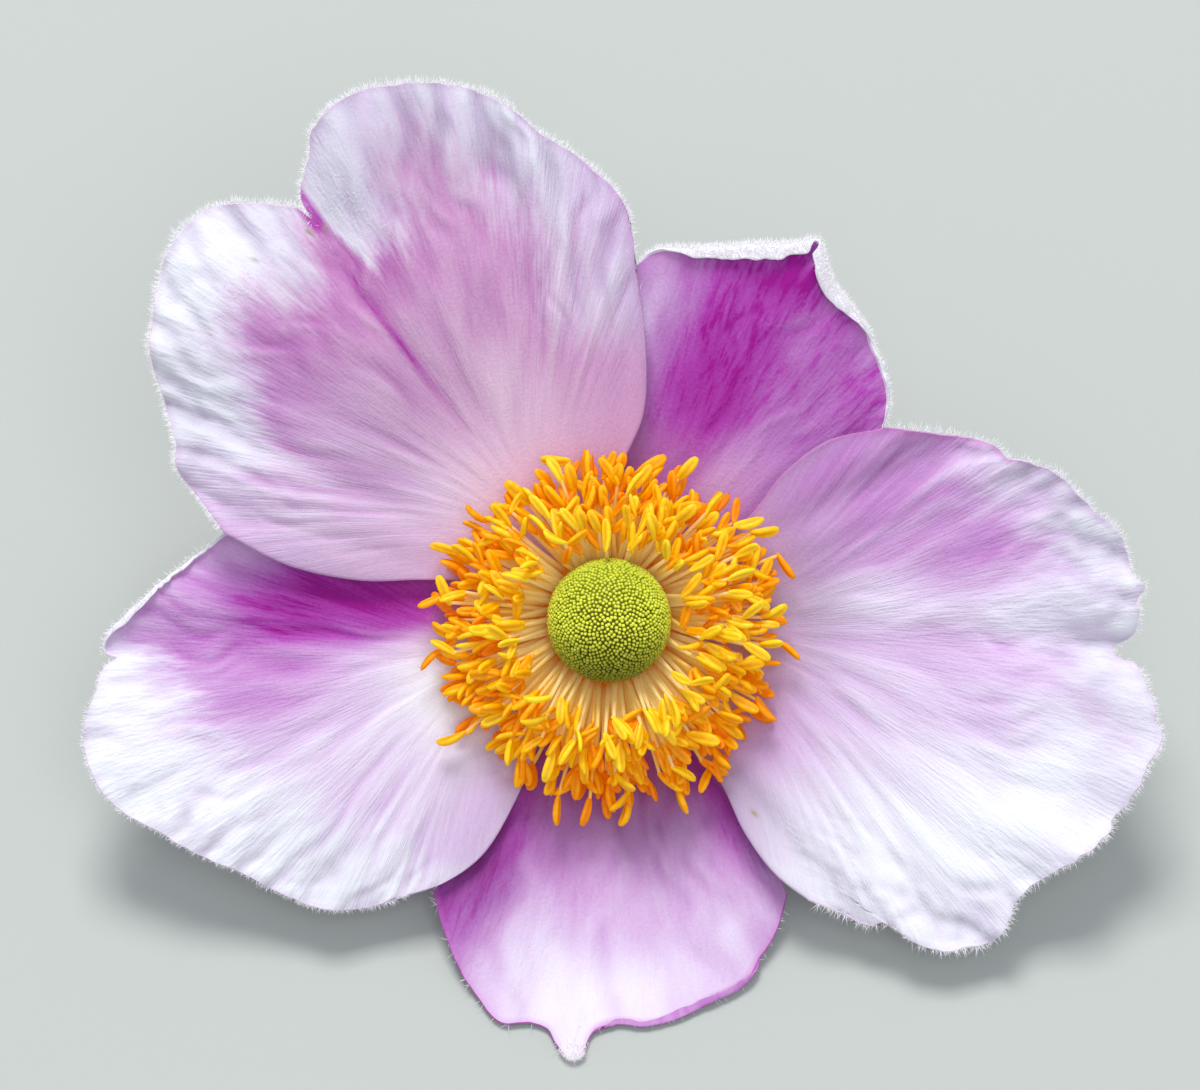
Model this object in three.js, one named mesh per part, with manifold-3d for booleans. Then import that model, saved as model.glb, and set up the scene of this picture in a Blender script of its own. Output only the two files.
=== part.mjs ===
// One Japanese anemone flower, picked with a short stalk and lying face up on a flat surface.
//
// Five petal-like tepals stand round a small receptacle at the stalk's end. On the receptacle sits a round
// head of some hundreds of carpels, and round its foot a ring of stamens. The flower leans on the rim of
// its lowest tepal and on its bent stalk.
//
// Everything in the flower is drawn in the flower's own face frame: x to the right and y up the face, z out
// of the face towards whoever looks at it. Angles are in degrees from x towards y, lengths in millimetres.
import * as THREE from "three";
import { ConvexGeometry } from "three/addons/geometries/ConvexGeometry.js";
import { mergeVertices } from "three/addons/utils/BufferGeometryUtils.js";
import Module from "manifold-3d";

const wasm = await Module();
wasm.setup();
const { degToRad, radToDeg, lerp, smoothstep } = THREE.MathUtils;

// How the picked flower lies.
const LEAN = 32; // degrees between the flower's axis and the vertical
const HEAD_HEIGHT = 8.7; // from the surface up to the middle of the tepals' attachment
const GOLDEN_ANGLE = 137.508; // degrees from one carpel or stamen to the next

// Receptacle and stalk.
const STALK_RADIUS = 0.95;
const STALK_SIDES = 14;
const STALK_STEP = 2.2;
const STALK_ROUTE = [
  [-0.1, 5.4, 1.95],
  [-0.4, 9, STALK_RADIUS + 0.14],
  [-1.2, 16, STALK_RADIUS],
  [-2.6, 26, STALK_RADIUS],
  [-3.2, 37, STALK_RADIUS],
]; // on the surface, from behind the flower to the cut end
const STALK_NECK = [0.5, -1.5, -3.5, -5.2]; // heights on the flower's axis, where the stalk leaves it
const RECEPTACLE_RADIUS = 2.6;
const RECEPTACLE_TOP = 2.1;
const RECEPTACLE_PROFILE = [
  [0, 0],
  [2.3, 0],
  [RECEPTACLE_RADIUS, 0.4],
  [RECEPTACLE_RADIUS, 2.8],
  [2.2, 3.5],
  [1.4, 4.4],
  [1.05, 5.8],
]; // [radius, distance below its top]
const CLEARANCE = 0.3; // between a piece and the one that carries it
const MERGE_DISTANCE = 1e-4; // below which two corners of a mesh are one

// Tepals.
const BLADE_THICKNESS = 0.6;
const CLAW_REACH = RECEPTACLE_RADIUS + CLEARANCE; // where a tepal leaves the receptacle
const CLAW_SPREAD = 30; // degrees either side of a tepal's middle, at its claw
const LAYER_STEP = 1.35; // from a tepal to the one that it overlaps
const LAYER_REACH = 10; // where a tepal has risen by its layer
const BOWL_REACH = 30; // where a tepal has risen by its own bowl height
const BOWL_POWER = 1.4;
const REFLEX_REACH = [0.75 * BOWL_REACH, 1.3 * BOWL_REACH]; // between these the far rim bends back
const RUFFLE_DEPTH = 4.5; // how far a ruffle reaches in from the margin
const HEM_WIDTH = 1.2; // how far in a margin rolls forward
const HEM_END = 4; // degrees over which such a roll begins and ends
const RUFFLE_TURNS = [23, 37]; // ruffles in a full turn round the flower, two sizes
const SURFACE_SOFTNESS = 0.4; // how softly a tepal bends where it meets the surface
const BLADE_ROWS = 10;
const SIDE_SAMPLES = 24; // points on a side margin where the distance to it is measured

// Carpel head.
const HEAD_RADIUS = 3.9;
const HEAD_MIDDLE = 5.4; // above the tepals' attachment
const CARPEL_COUNT = 300;
const CARPEL_RELIEF = 0.3;
const HEAD_FOOT = RECEPTACLE_TOP + CLEARANCE;

// Stamens.
const COLLAR = { inner: 2.9, outer: 3.6, bottom: 0.9, top: 2.0, sides: 28 };
const STAMEN_COUNT = 84;
const SPLAY = [30, 66]; // degrees from the flower's axis, of the innermost and the outermost stamen
const FILAMENT_LENGTH = [5.0, 7.4]; // of the innermost and the outermost stamen
const FILAMENT_BEND = { out: 0.44, up: 0.52 }; // where a filament bends, as shares of its way
const FILAMENT_THICKNESS = 0.34;
const FILAMENT_SIDES = 3;
const ROOT_DEPTH = 0.1; // how far a filament's root sinks into the collar
const ANTHER_LENGTH = 2.1;
const ANTHER_WIDTH = 0.74;
const ANTHER_FACES = { around: 5, along: 4 };
const ANTHER_SLOPE = [0.9, 0.1]; // rise over run, of the innermost and the outermost anther
const ANTHER_HOLD = 0.4; // share of an anther's length from its middle back to the filament's end
const STAMEN_SCATTER = { turn: 14, splay: 10, length: 1.2, nod: 90, slope: 1 }; // full range of each

// Each tepal has a claw on the receptacle, two side margins and a far rim. They run anticlockwise, each
// point as [angle, reach] from the flower's axis, and the sides are listed from the claw out.
// `layer` counts what it overlaps, `bowl` is how far it rises towards the viewer, `sides` lifts both its
// sides, `lean` lifts the second side and lowers the first, and `reflex` bends its far rim back. `folds`
// run out along a ray, and `hem`, where there is one, is where its margin rolls forward.
const TEPALS = [
  {
    name: "tepal_right",
    colour: 0xe9d5ef,
    layer: 1,
    bowl: 5.2,
    sides: 0.8,
    lean: -0.2,
    reflex: 1.6,
    ruffle: 0.28,
    folds: [
      { angle: -3.5, width: 4, from: 14, to: 31, height: -0.9 },
      { angle: -44, width: 6, from: 22, to: 30, height: -0.8 },
    ],
    hem: { from: 20, to: 40, height: 0.15 },
    firstSide: [[-55.5, 8.5], [-55.6, 12.5], [-57.5, 15.8], [-56.8, 19], [-54.5, 21.4]],
    rim: [
      [-54.5, 21.4], [-52, 23.1], [-49.2, 25.2], [-47.6, 25.5], [-46.8, 27.2], [-44.7, 29.3],
      [-42, 30.4], [-39, 31.3], [-36.5, 31.1], [-34.5, 30.9], [-30.5, 31.6], [-25, 33.4],
      [-19.5, 34.2], [-12.5, 35.1], [-10, 34.6], [-6, 33.4], [-4.6, 32.6], [-4.3, 31.7],
      [-3, 31.6], [-1.8, 32.7], [0.6, 33.1], [1.9, 32.9], [3.4, 33.3], [5.5, 32.7],
      [9, 32.3], [13.5, 30.6], [17.5, 29.6], [21.2, 27.6], [21.9, 26.8], [24.5, 26.3],
      [30.5, 23], [35, 20.9],
    ],
    secondSide: [[34.5, 8.5], [36.8, 11.3], [40, 14.3], [39.2, 17.8], [35, 20.9]],
  },
  {
    name: "tepal_top",
    colour: 0xc070c4,
    layer: 0,
    bowl: 5.7,
    sides: -0.8,
    lean: 0,
    reflex: 0,
    ruffle: 0.08,
    folds: [{ angle: 61, width: 7, from: 12, to: 27, height: 0.5 }],
    hem: { from: 38, to: 84, height: 0.9 },
    firstSide: [[35.5, 8.5], [32, 13.5], [31.5, 17.5], [34.5, 20.6]],
    rim: [
      [34.5, 20.6], [37.5, 21.9], [41, 22.8], [46, 23.7], [50, 24.5], [56, 25.2], [59.3, 26.3],
      [61.2, 27.2], [63.3, 26.4], [67, 25.6], [73, 24.5], [79, 23.8], [82.5, 23.4], [85.5, 22.3],
    ],
    secondSide: [[86.5, 8.5], [89, 13.5], [89.5, 18.5], [85.5, 22.3]],
  },
  {
    name: "tepal_top_left",
    colour: 0xe3c8e8,
    layer: 1,
    bowl: 5.6,
    sides: 0.4,
    lean: 0.9,
    reflex: 3.2,
    ruffle: 0.45,
    folds: [
      { angle: 128, width: 3, from: 12, to: 32, height: -0.9 },
      { angle: 119, width: 5, from: 24, to: 34, height: 0.7 },
      { angle: 138, width: 6, from: 22, to: 34, height: 0.6 },
    ],
    firstSide: [[87.5, 8.5], [80.5, 13.1], [82.3, 17], [85.8, 22.4]],
    rim: [
      [85.8, 22.4], [88, 26], [94, 29], [98, 30.6], [102, 33.1], [107, 35], [112, 36], [117, 36.5],
      [121, 35.8], [123, 34.4], [125.6, 33.1], [126.3, 32.1], [126.5, 30.9], [127.2, 32.2],
      [129, 33.3], [133.5, 35.6], [137, 36], [141.5, 35.5], [146, 34.2], [150, 32.9], [154, 30.8],
      [158, 29], [160.5, 28.5], [163.5, 26.5], [167.4, 24.4],
    ],
    secondSide: [[164, 8.5], [168, 12], [171, 15.8], [170.3, 20.4], [167.4, 24.4]],
  },
  {
    name: "tepal_left",
    colour: 0xe6cdec,
    layer: 1,
    bowl: 4.8,
    sides: -0.5,
    lean: 0.9,
    reflex: 1.2,
    ruffle: 0.2,
    folds: [
      { angle: 184.5, width: 5, from: 8, to: 30, height: -1.0 },
      { angle: 222, width: 7, from: 18, to: 27, height: -0.5 },
    ],
    hem: { from: 165, to: 184, height: 0.8 },
    firstSide: [[165.5, 8.5], [161, 14], [161, 19], [165.5, 23.8]],
    rim: [
      [165.5, 23.8], [171, 25.8], [176.5, 28.4], [180, 30.3], [182, 31.3], [183.6, 31.4],
      [184.4, 30.8], [185.3, 31.7], [188, 32.4], [192, 33.5], [197, 33.6], [201, 32.8],
      [205.5, 30.9], [210, 29.4], [214, 28], [220, 26.6], [225, 25.5], [229, 23.9], [234, 21.3],
    ],
    secondSide: [[240, 8.5], [242.7, 13], [241.7, 16.8], [238, 19.4], [234, 21.3]],
  },
  {
    name: "tepal_bottom",
    colour: 0xd9b2e2,
    layer: 0,
    bowl: 6.4,
    sides: -0.6,
    lean: -0.4,
    reflex: 0,
    ruffle: 0.1,
    folds: [{ angle: 265.5, width: 4, from: 20, to: 27, height: 0.5 }],
    hem: { from: 268, to: 293, height: 0.5 },
    firstSide: [[240.5, 8.5], [236, 13], [235, 17], [237, 20.2]],
    rim: [
      [237, 20.2], [242, 22], [247, 23.8], [251, 25], [255, 26], [259, 25.6], [261.5, 25.8],
      [263.5, 26.6], [265.4, 27.3], [267, 26.6], [268, 25.7], [271, 25.1], [276, 25.3], [281, 25],
      [286, 24.5], [290.5, 24.2], [293.5, 23.3], [298, 22.2], [303, 20.5],
    ],
    secondSide: [[302.5, 8.5], [304.5, 13], [305.5, 17], [303, 20.5]],
  },
];

const ray = (angle, reach, height) =>
  new THREE.Vector3(
    reach * Math.cos(degToRad(angle)),
    reach * Math.sin(degToRad(angle)),
    height,
  );

// A smooth hill of height 1 with its top at 0.
const hill = (distance) => Math.exp(-(distance ** 2));

// How far a tepal stands towards the viewer: `across` runs from -1 to 1 between its sides, and `toMargin`
// is the distance in from its margin.
function tepalHeight(tepal, { angle, reach, across, toMargin }) {
  const out = reach / BOWL_REACH;
  let height = tepal.bowl * out ** BOWL_POWER;
  height += tepal.layer * LAYER_STEP * smoothstep(reach, CLAW_REACH, LAYER_REACH);
  height += (tepal.sides * across ** 2 + tepal.lean * across) * out;
  height -= tepal.reflex * smoothstep(reach, ...REFLEX_REACH);
  for (const fold of tepal.folds)
    height +=
      fold.height * hill((angle - fold.angle) / fold.width) * smoothstep(reach, fold.from, fold.to);
  let edge = 0;
  if (tepal.hem) {
    const { from, to, height: roll } = tepal.hem;
    const inHem = smoothstep(angle, from, from + HEM_END) * (1 - smoothstep(angle, to - HEM_END, to));
    edge += roll * inHem * hill(toMargin / HEM_WIDTH);
  }
  for (const turns of RUFFLE_TURNS)
    edge += tepal.ruffle * Math.exp(-toMargin / RUFFLE_DEPTH) * Math.sin(degToRad(turns * angle));
  return height + edge * smoothstep(reach, LAYER_REACH, 2 * LAYER_REACH);
}

// Lifts a point along the flower's axis, so that a tepal bends where it would pass through the surface.
function liftOffSurface(point) {
  const lean = degToRad(LEAN);
  const height = HEAD_HEIGHT + point.y * Math.sin(lean) + point.z * Math.cos(lean);
  const below = BLADE_THICKNESS / 2 - height;
  point.z += (below + Math.hypot(below, SURFACE_SOFTNESS)) / 2 / Math.cos(lean);
  return point;
}

// The tepal's middle surface. Its columns fan out from the claw to the points of the rim, and its rows
// cross from one side margin to the other, so that all four edges keep their drawn shapes.
function tepalGrid(tepal) {
  const flat = (points) => points.map(([angle, reach]) => ray(angle, reach, 0));
  const rim = flat(tepal.rim);
  const middle = (tepal.rim[0][0] + tepal.rim.at(-1)[0]) / 2;
  const claw = (across) => ray(middle + CLAW_SPREAD * across, CLAW_REACH, 0);
  const firstSide = new THREE.CatmullRomCurve3([claw(-1), ...flat(tepal.firstSide)]);
  const secondSide = new THREE.CatmullRomCurve3([claw(1), ...flat(tepal.secondSide)]);
  const margin = [
    ...firstSide.getPoints(SIDE_SAMPLES),
    ...rim,
    ...secondSide.getPoints(SIDE_SAMPLES).reverse(),
  ];
  const edges = margin.slice(1).map((end, i) => new THREE.Line3(margin[i], end));
  const along = [0];
  rim.slice(1).forEach((end, i) => along.push(along[i] + end.distanceTo(rim[i])));
  const nearest = new THREE.Vector3();
  return rim.map((rimPoint, i) => {
    const u = along[i] / along.at(-1);
    return Array.from({ length: BLADE_ROWS + 1 }, (_, row) => {
      const v = row / BLADE_ROWS;
      const point = claw(2 * u - 1).lerp(rimPoint, v);
      const bent = firstSide.getPointAt(v).lerp(secondSide.getPointAt(v), u);
      const straight = claw(-1).lerp(rim[0], v).lerp(claw(1).lerp(rim.at(-1), v), u);
      point.add(bent).sub(straight);
      const toMargin = Math.min(
        ...edges.map((edge) => edge.closestPointToPoint(point, true, nearest).distanceTo(point)),
      );
      const turn = Math.atan2(point.y, point.x);
      const angle = middle + THREE.MathUtils.euclideanModulo(radToDeg(turn) - middle + 180, 360) - 180;
      point.z = tepalHeight(tepal, { angle, reach: point.length(), across: 2 * u - 1, toMargin });
      return liftOffSurface(point);
    });
  });
}

// A closed blade of even thickness round a grid of points, with both faces split into like triangles.
function bladeGeometry(grid, thickness) {
  const columns = grid.length;
  const rows = grid[0].length;
  const positions = [];
  const at = (side, i, j) => (side * columns + i) * rows + j;
  for (const side of [0.5, -0.5])
    grid.forEach((column, i) =>
      column.forEach((point, j) => {
        const outward = column[Math.min(j + 1, rows - 1)].clone().sub(column[Math.max(j - 1, 0)]);
        const sideways = grid[Math.min(i + 1, columns - 1)][j].clone().sub(grid[Math.max(i - 1, 0)][j]);
        const normal = outward.cross(sideways).normalize();
        positions.push(...point.clone().addScaledVector(normal, side * thickness));
      }),
    );
  const faces = [];
  const quad = (a, b, c, d) => faces.push(a, b, c, a, c, d);
  for (let i = 0; i + 1 < columns; i++)
    for (let j = 0; j + 1 < rows; j++) {
      quad(at(0, i, j), at(0, i, j + 1), at(0, i + 1, j + 1), at(0, i + 1, j));
      faces.push(at(1, i, j), at(1, i + 1, j + 1), at(1, i, j + 1));
      faces.push(at(1, i, j), at(1, i + 1, j), at(1, i + 1, j + 1));
    }
  const edge = [
    ...Array.from({ length: columns - 1 }, (_, i) => [i, 0]),
    ...Array.from({ length: rows - 1 }, (_, j) => [columns - 1, j]),
    ...Array.from({ length: columns - 1 }, (_, i) => [columns - 1 - i, rows - 1]),
    ...Array.from({ length: rows - 1 }, (_, j) => [0, rows - 1 - j]),
  ];
  edge.forEach(([i, j], n) => {
    const [k, l] = edge[(n + 1) % edge.length];
    quad(at(0, i, j), at(0, k, l), at(1, k, l), at(1, i, j));
  });
  return new THREE.BufferGeometry()
    .setAttribute("position", new THREE.Float32BufferAttribute(positions, 3))
    .setIndex(faces);
}

// The round head: carpels on a sunflower spiral, each standing up between the dents that part it from
// the next.
function carpelHeadGeometry() {
  const lowest = (HEAD_FOOT - HEAD_MIDDLE) / HEAD_RADIUS;
  const tips = Array.from({ length: CARPEL_COUNT }, (_, i) => {
    const up = lerp(1, lowest, (i + 0.5) / CARPEL_COUNT);
    return ray(GOLDEN_ANGLE * i, Math.sqrt(1 - up ** 2), up).multiplyScalar(HEAD_RADIUS);
  });
  const hull = new ConvexGeometry(tips).getAttribute("position");
  const positions = [];
  for (let i = 0; i < hull.count; i += 3) {
    const [a, b, c] = [0, 1, 2].map((k) => new THREE.Vector3().fromBufferAttribute(hull, i + k));
    const dent = a.clone().add(b).add(c).divideScalar(3);
    if (dent.length() < HEAD_RADIUS - CARPEL_RELIEF) positions.push(...a, ...b, ...c); // the flat foot
    else {
      dent.setLength(HEAD_RADIUS - CARPEL_RELIEF);
      for (const [p, q] of [[a, b], [b, c], [c, a]]) positions.push(...p, ...q, ...dent);
    }
  }
  return new THREE.BufferGeometry()
    .setAttribute("position", new THREE.Float32BufferAttribute(positions, 3))
    .translate(0, 0, HEAD_MIDDLE);
}

function solidOf(geometry) {
  const bare = new THREE.BufferGeometry().setAttribute("position", geometry.getAttribute("position"));
  const merged = mergeVertices(bare.setIndex(geometry.index), MERGE_DISTANCE);
  return new wasm.Manifold(
    new wasm.Mesh({
      numProp: 3,
      vertProperties: merged.getAttribute("position").array,
      triVerts: new Uint32Array(merged.index.array),
    }),
  );
}

function geometryOf(solid) {
  const { vertProperties, triVerts } = solid.getMesh();
  return new THREE.BufferGeometry()
    .setAttribute("position", new THREE.BufferAttribute(vertProperties, 3))
    .setIndex(new THREE.BufferAttribute(triVerts, 1));
}

// A number from 0 to 1 that looks random, and is the same for the same index every time.
const scatter = (index, salt) => {
  const wave = Math.sin(index * 12.9898 + salt * 78.233) * 43758.5453;
  return wave - Math.floor(wave);
};

// Turns a shape's z axis to a direction, and moves it to a place.
function placed(geometry, place, direction) {
  const turn = new THREE.Quaternion().setFromUnitVectors(new THREE.Vector3(0, 0, 1), direction);
  return geometry.applyQuaternion(turn).translate(...place);
}

// Turns a profile of [radius, distance] points round, and bends the round body along a route.
function bentLathe(profile, route, sides) {
  const lathe = new THREE.LatheGeometry(profile.map(([x, y]) => new THREE.Vector2(x, y)), sides);
  const position = lathe.getAttribute("position");
  const length = route.getLength();
  for (let i = 0; i < position.count; i++) {
    const share = Math.min(position.getY(i) / length, 1);
    const forward = route.getTangentAt(share);
    const side = new THREE.Vector3(1, 0, 0).projectOnPlane(forward).normalize();
    const place = route.getPointAt(share).addScaledVector(side, position.getX(i));
    place.addScaledVector(side.cross(forward), position.getZ(i));
    position.setXYZ(i, ...place);
  }
  return lathe;
}

// One stamen: a slim bent filament with its root in the collar, and the anther at its end.
function stamenSolids(index) {
  const share = (index + 0.5) / STAMEN_COUNT; // 0 for the innermost stamen, 1 for the outermost
  const strays = (range, salt) => range * (scatter(index, salt) - 0.5);
  const angle = GOLDEN_ANGLE * index + strays(STAMEN_SCATTER.turn, 1);
  const splay = degToRad(lerp(...SPLAY, share) + strays(STAMEN_SCATTER.splay, 2));
  const length = lerp(...FILAMENT_LENGTH, share) + strays(STAMEN_SCATTER.length, 3);
  const out = length * Math.sin(splay);
  const up = length * Math.cos(splay);
  const rootHeight = lerp(COLLAR.top, COLLAR.bottom, share) - ROOT_DEPTH;
  const root = ray(angle, (COLLAR.inner + COLLAR.outer) / 2, rootHeight);
  const bend = root.clone().add(ray(angle, FILAMENT_BEND.out * out, FILAMENT_BEND.up * up));
  const end = root.clone().add(ray(angle, out, up));
  const route = new THREE.QuadraticBezierCurve3(root, bend, end);
  const run = route.getLength();
  const radius = FILAMENT_THICKNESS / 2;
  const profile = [[0, 0], [radius, 0], [radius, run / 2], [radius, run], [0, run]];
  const filament = bentLathe(profile, route, FILAMENT_SIDES);
  const slope = lerp(...ANTHER_SLOPE, share) + strays(STAMEN_SCATTER.slope, 5);
  const nod = ray(angle + strays(STAMEN_SCATTER.nod, 4), 1, slope).normalize();
  const anther = new THREE.SphereGeometry(ANTHER_WIDTH / 2, ANTHER_FACES.around, ANTHER_FACES.along)
    .rotateX(Math.PI / 2)
    .scale(1, 1, ANTHER_LENGTH / ANTHER_WIDTH);
  const middle = end.addScaledVector(nod, ANTHER_HOLD * ANTHER_LENGTH);
  return [solidOf(filament), solidOf(placed(anther, middle, nod))];
}

// The ring that carries the stamens, joined with all of them.
function stamensGeometry() {
  const { inner, outer, bottom, top, sides } = COLLAR;
  const profile = [[inner, bottom], [outer, bottom], [outer, top], [inner, top], [inner, bottom]];
  const section = profile.map(([x, y]) => new THREE.Vector2(x, y));
  const ring = new THREE.LatheGeometry(section, sides).rotateX(Math.PI / 2);
  const stamens = Array.from({ length: STAMEN_COUNT }, (_, i) => stamenSolids(i)).flat();
  return geometryOf(wasm.Manifold.union([solidOf(ring), ...stamens]));
}

// The receptacle with the stalk below it, which bends behind the flower down to the surface and along it.
// It is drawn where it lies: z is the height above the surface.
function stalkGeometry() {
  const axis = new THREE.Vector3(0, -Math.sin(degToRad(LEAN)), Math.cos(degToRad(LEAN)));
  const onAxis = (height) => new THREE.Vector3(0, 0, HEAD_HEIGHT).addScaledVector(axis, height);
  const route = new THREE.CatmullRomCurve3([
    ...[RECEPTACLE_TOP, ...STALK_NECK].map(onAxis),
    ...STALK_ROUTE.map((place) => new THREE.Vector3(...place)),
  ]);
  const profile = RECEPTACLE_PROFILE.slice();
  const length = route.getLength();
  const swelling = profile.at(-1)[1];
  const steps = Math.round((length - swelling) / STALK_STEP);
  for (let i = 1; i <= steps; i++) profile.push([STALK_RADIUS, lerp(swelling, length, i / steps)]);
  profile.push([0, length]);
  return bentLathe(profile, route, STALK_SIDES);
}

const skin = (colour, roughness) =>
  new THREE.MeshStandardMaterial({ color: colour, roughness, metalness: 0, side: THREE.DoubleSide });

function named(name, geometry, material) {
  const mesh = new THREE.Mesh(geometry, material);
  mesh.name = name;
  return mesh;
}

const head = new THREE.Group();
head.rotation.x = degToRad(LEAN);
head.position.z = HEAD_HEIGHT;
for (const tepal of TEPALS)
  head.add(named(tepal.name, bladeGeometry(tepalGrid(tepal), BLADE_THICKNESS), skin(tepal.colour, 0.6)));
head.add(named("carpel_head", carpelHeadGeometry(), skin(0x9fb32a, 0.65)));
head.add(named("stamens", stamensGeometry(), skin(0xf5a30b, 0.6)));

const lying = new THREE.Group();
lying.add(head, named("stalk", stalkGeometry(), skin(0x7c5a66, 0.7)));

// The origin is on the surface, under the middle of the whole flower.
const bounds = new THREE.Box3().setFromObject(lying, true);
const middle = bounds.getCenter(new THREE.Vector3());
lying.position.set(-middle.x, -middle.y, -bounds.min.z);

const flower = new THREE.Group();
flower.name = "japanese_anemone_flower";
flower.add(lying);

export default flower;
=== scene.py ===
# %% [markdown]
# # A Japanese anemone flower, picked and laid face up
#
# The flower has five broad petal-like tepals in layers, a round head of carpels, a ring of stamens and a
# short stalk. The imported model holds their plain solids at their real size. This script dresses them: it
# builds each tepal again as a thin waved blade, every stamen and every carpel as a piece of its own, and
# the fine hairs, and gives each a material made of nodes.

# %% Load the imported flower
import math
from functools import partial

import bpy
import numpy as np
from mathutils import Matrix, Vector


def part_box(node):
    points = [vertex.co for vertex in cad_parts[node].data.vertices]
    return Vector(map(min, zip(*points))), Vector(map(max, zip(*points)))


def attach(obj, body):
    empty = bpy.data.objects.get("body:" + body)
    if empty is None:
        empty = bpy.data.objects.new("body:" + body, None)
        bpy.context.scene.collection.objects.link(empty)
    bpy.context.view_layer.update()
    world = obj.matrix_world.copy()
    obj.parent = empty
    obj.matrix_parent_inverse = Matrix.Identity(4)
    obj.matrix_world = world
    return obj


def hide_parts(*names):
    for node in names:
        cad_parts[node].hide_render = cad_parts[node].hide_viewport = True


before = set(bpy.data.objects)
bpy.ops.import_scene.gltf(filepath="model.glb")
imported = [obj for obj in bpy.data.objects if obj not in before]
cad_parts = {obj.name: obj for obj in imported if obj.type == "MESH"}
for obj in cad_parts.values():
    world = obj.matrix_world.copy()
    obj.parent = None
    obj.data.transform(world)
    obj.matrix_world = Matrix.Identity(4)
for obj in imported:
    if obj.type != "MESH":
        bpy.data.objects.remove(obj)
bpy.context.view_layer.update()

# %% [markdown]
# ## The flower's own face frame
#
# The flower leans back from the viewer, so it is easier to draw it in a frame of its own: x to the right
# and y up its face, z out of the face, in millimetres. One matrix then lays everything into the world.
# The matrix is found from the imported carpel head, a ball whose middle lies on the flower's axis.

# %% Lay the face frame into the world
MM = 0.001
LEAN = math.radians(32)
BALL_RADIUS = 3.9
BALL_MIDDLE = 5.4  # mm above the tepals' attachment, along the axis

ball_low, ball_high = (np.array(corner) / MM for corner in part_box("carpel_head"))
ball_middle = (ball_low + ball_high) / 2
ball_middle[2] = ball_high[2] - BALL_RADIUS
FACE_AXES = np.array(
    [
        [1, 0, 0],
        [0, math.cos(LEAN), math.sin(LEAN)],
        [0, -math.sin(LEAN), math.cos(LEAN)],
    ]
)
ATTACHMENT = ball_middle - BALL_MIDDLE * FACE_AXES[2]


def to_world(points):
    """Turns points of the face frame, in mm, into world points in metres."""
    return (np.asarray(points, dtype=float) @ FACE_AXES + ATTACHMENT) * MM


face_matrix = Matrix.Translation(ATTACHMENT * MM) @ Matrix(FACE_AXES.T * MM).to_4x4()
print("attachment at", ATTACHMENT.round(2), "mm")

# %% [markdown]
# ## Small tools
#
# Soft random hills from a seeded table give every wave and blotch that has no rule of its own. They are
# the same at every run.

# %% Noise, blends and curves
TABLE_SIZE = 64


def soft_noise(x, y, seed):
    """Smooth random hills about one unit apart, between -1 and 1."""
    table = np.random.default_rng(seed).uniform(-1, 1, (TABLE_SIZE, TABLE_SIZE))
    x, y = np.broadcast_arrays(x, y)
    column, row = np.floor(x).astype(int), np.floor(y).astype(int)
    fx, fy = x - column, y - row
    fx, fy = fx * fx * (3 - 2 * fx), fy * fy * (3 - 2 * fy)
    corner = lambda i, j: table[(column + i) % TABLE_SIZE, (row + j) % TABLE_SIZE]
    near = corner(0, 0) * (1 - fx) + corner(1, 0) * fx
    far = corner(0, 1) * (1 - fx) + corner(1, 1) * fx
    return near * (1 - fy) + far * fy


def smoothstep(x, low, high):
    """Rises from 0 at low to 1 at high."""
    t = np.clip((x - low) / (high - low), 0, 1)
    return t * t * (3 - 2 * t)


def hill(distance):
    """A smooth hill of height 1 with its top at 0."""
    return np.exp(-np.square(distance))


def ray(angle, reach, height=0.0):
    """The face-frame point at an angle in degrees, a reach and a height."""
    turn = np.radians(angle)
    return np.stack(np.broadcast_arrays(reach * np.cos(turn), reach * np.sin(turn), height), axis=-1)


def curve_through(points, steps=24):
    """A centripetal Catmull-Rom curve through the points, as a fine polyline."""
    points = np.asarray(points, dtype=float)
    first, last = 2 * points[0] - points[1], 2 * points[-1] - points[-2]
    padded = np.vstack([first, points, last])
    pieces = []
    for a, b, c, d in zip(padded, padded[1:], padded[2:], padded[3:]):
        gaps = [max(np.linalg.norm(q - p), 1e-9) ** 0.5 for p, q in ((a, b), (b, c), (c, d))]
        t0, t1 = 0.0, gaps[0]
        t2, t3 = t1 + gaps[1], t1 + gaps[1] + gaps[2]
        t = np.linspace(t1, t2, steps, endpoint=False)[:, None]
        ab = (t1 - t) / (t1 - t0) * a + (t - t0) / (t1 - t0) * b
        bc = (t2 - t) / (t2 - t1) * b + (t - t1) / (t2 - t1) * c
        cd = (t3 - t) / (t3 - t2) * c + (t - t2) / (t3 - t2) * d
        abc = (t2 - t) / (t2 - t0) * ab + (t - t0) / (t2 - t0) * bc
        bcd = (t3 - t) / (t3 - t1) * bc + (t - t1) / (t3 - t1) * cd
        pieces.append((t2 - t) / (t2 - t1) * abc + (t - t1) / (t2 - t1) * bcd)
    return np.vstack([*pieces, points[-1:]])


def spaced_along(line, shares, steps=None):
    """Points at shares of a polyline's length, or of the sum of other step lengths."""
    steps = np.linalg.norm(np.diff(line, axis=0), axis=1) if steps is None else steps
    run = np.concatenate([[0], np.cumsum(steps)])
    return np.stack([np.interp(shares * run[-1], run, line[:, k]) for k in range(line.shape[1])], axis=-1)


# %% [markdown]
# ## Tools that make objects and nodes
#
# A finished piece is a plain mesh at the origin, with its place in its vertices. Small functions add the
# nodes that come back often. `grow` runs a Geometry Nodes tree on a piece and keeps what it made, and
# `finish_piece` says which body a piece rides and which solid it stands for.

# %% Mesh and node helpers


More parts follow.
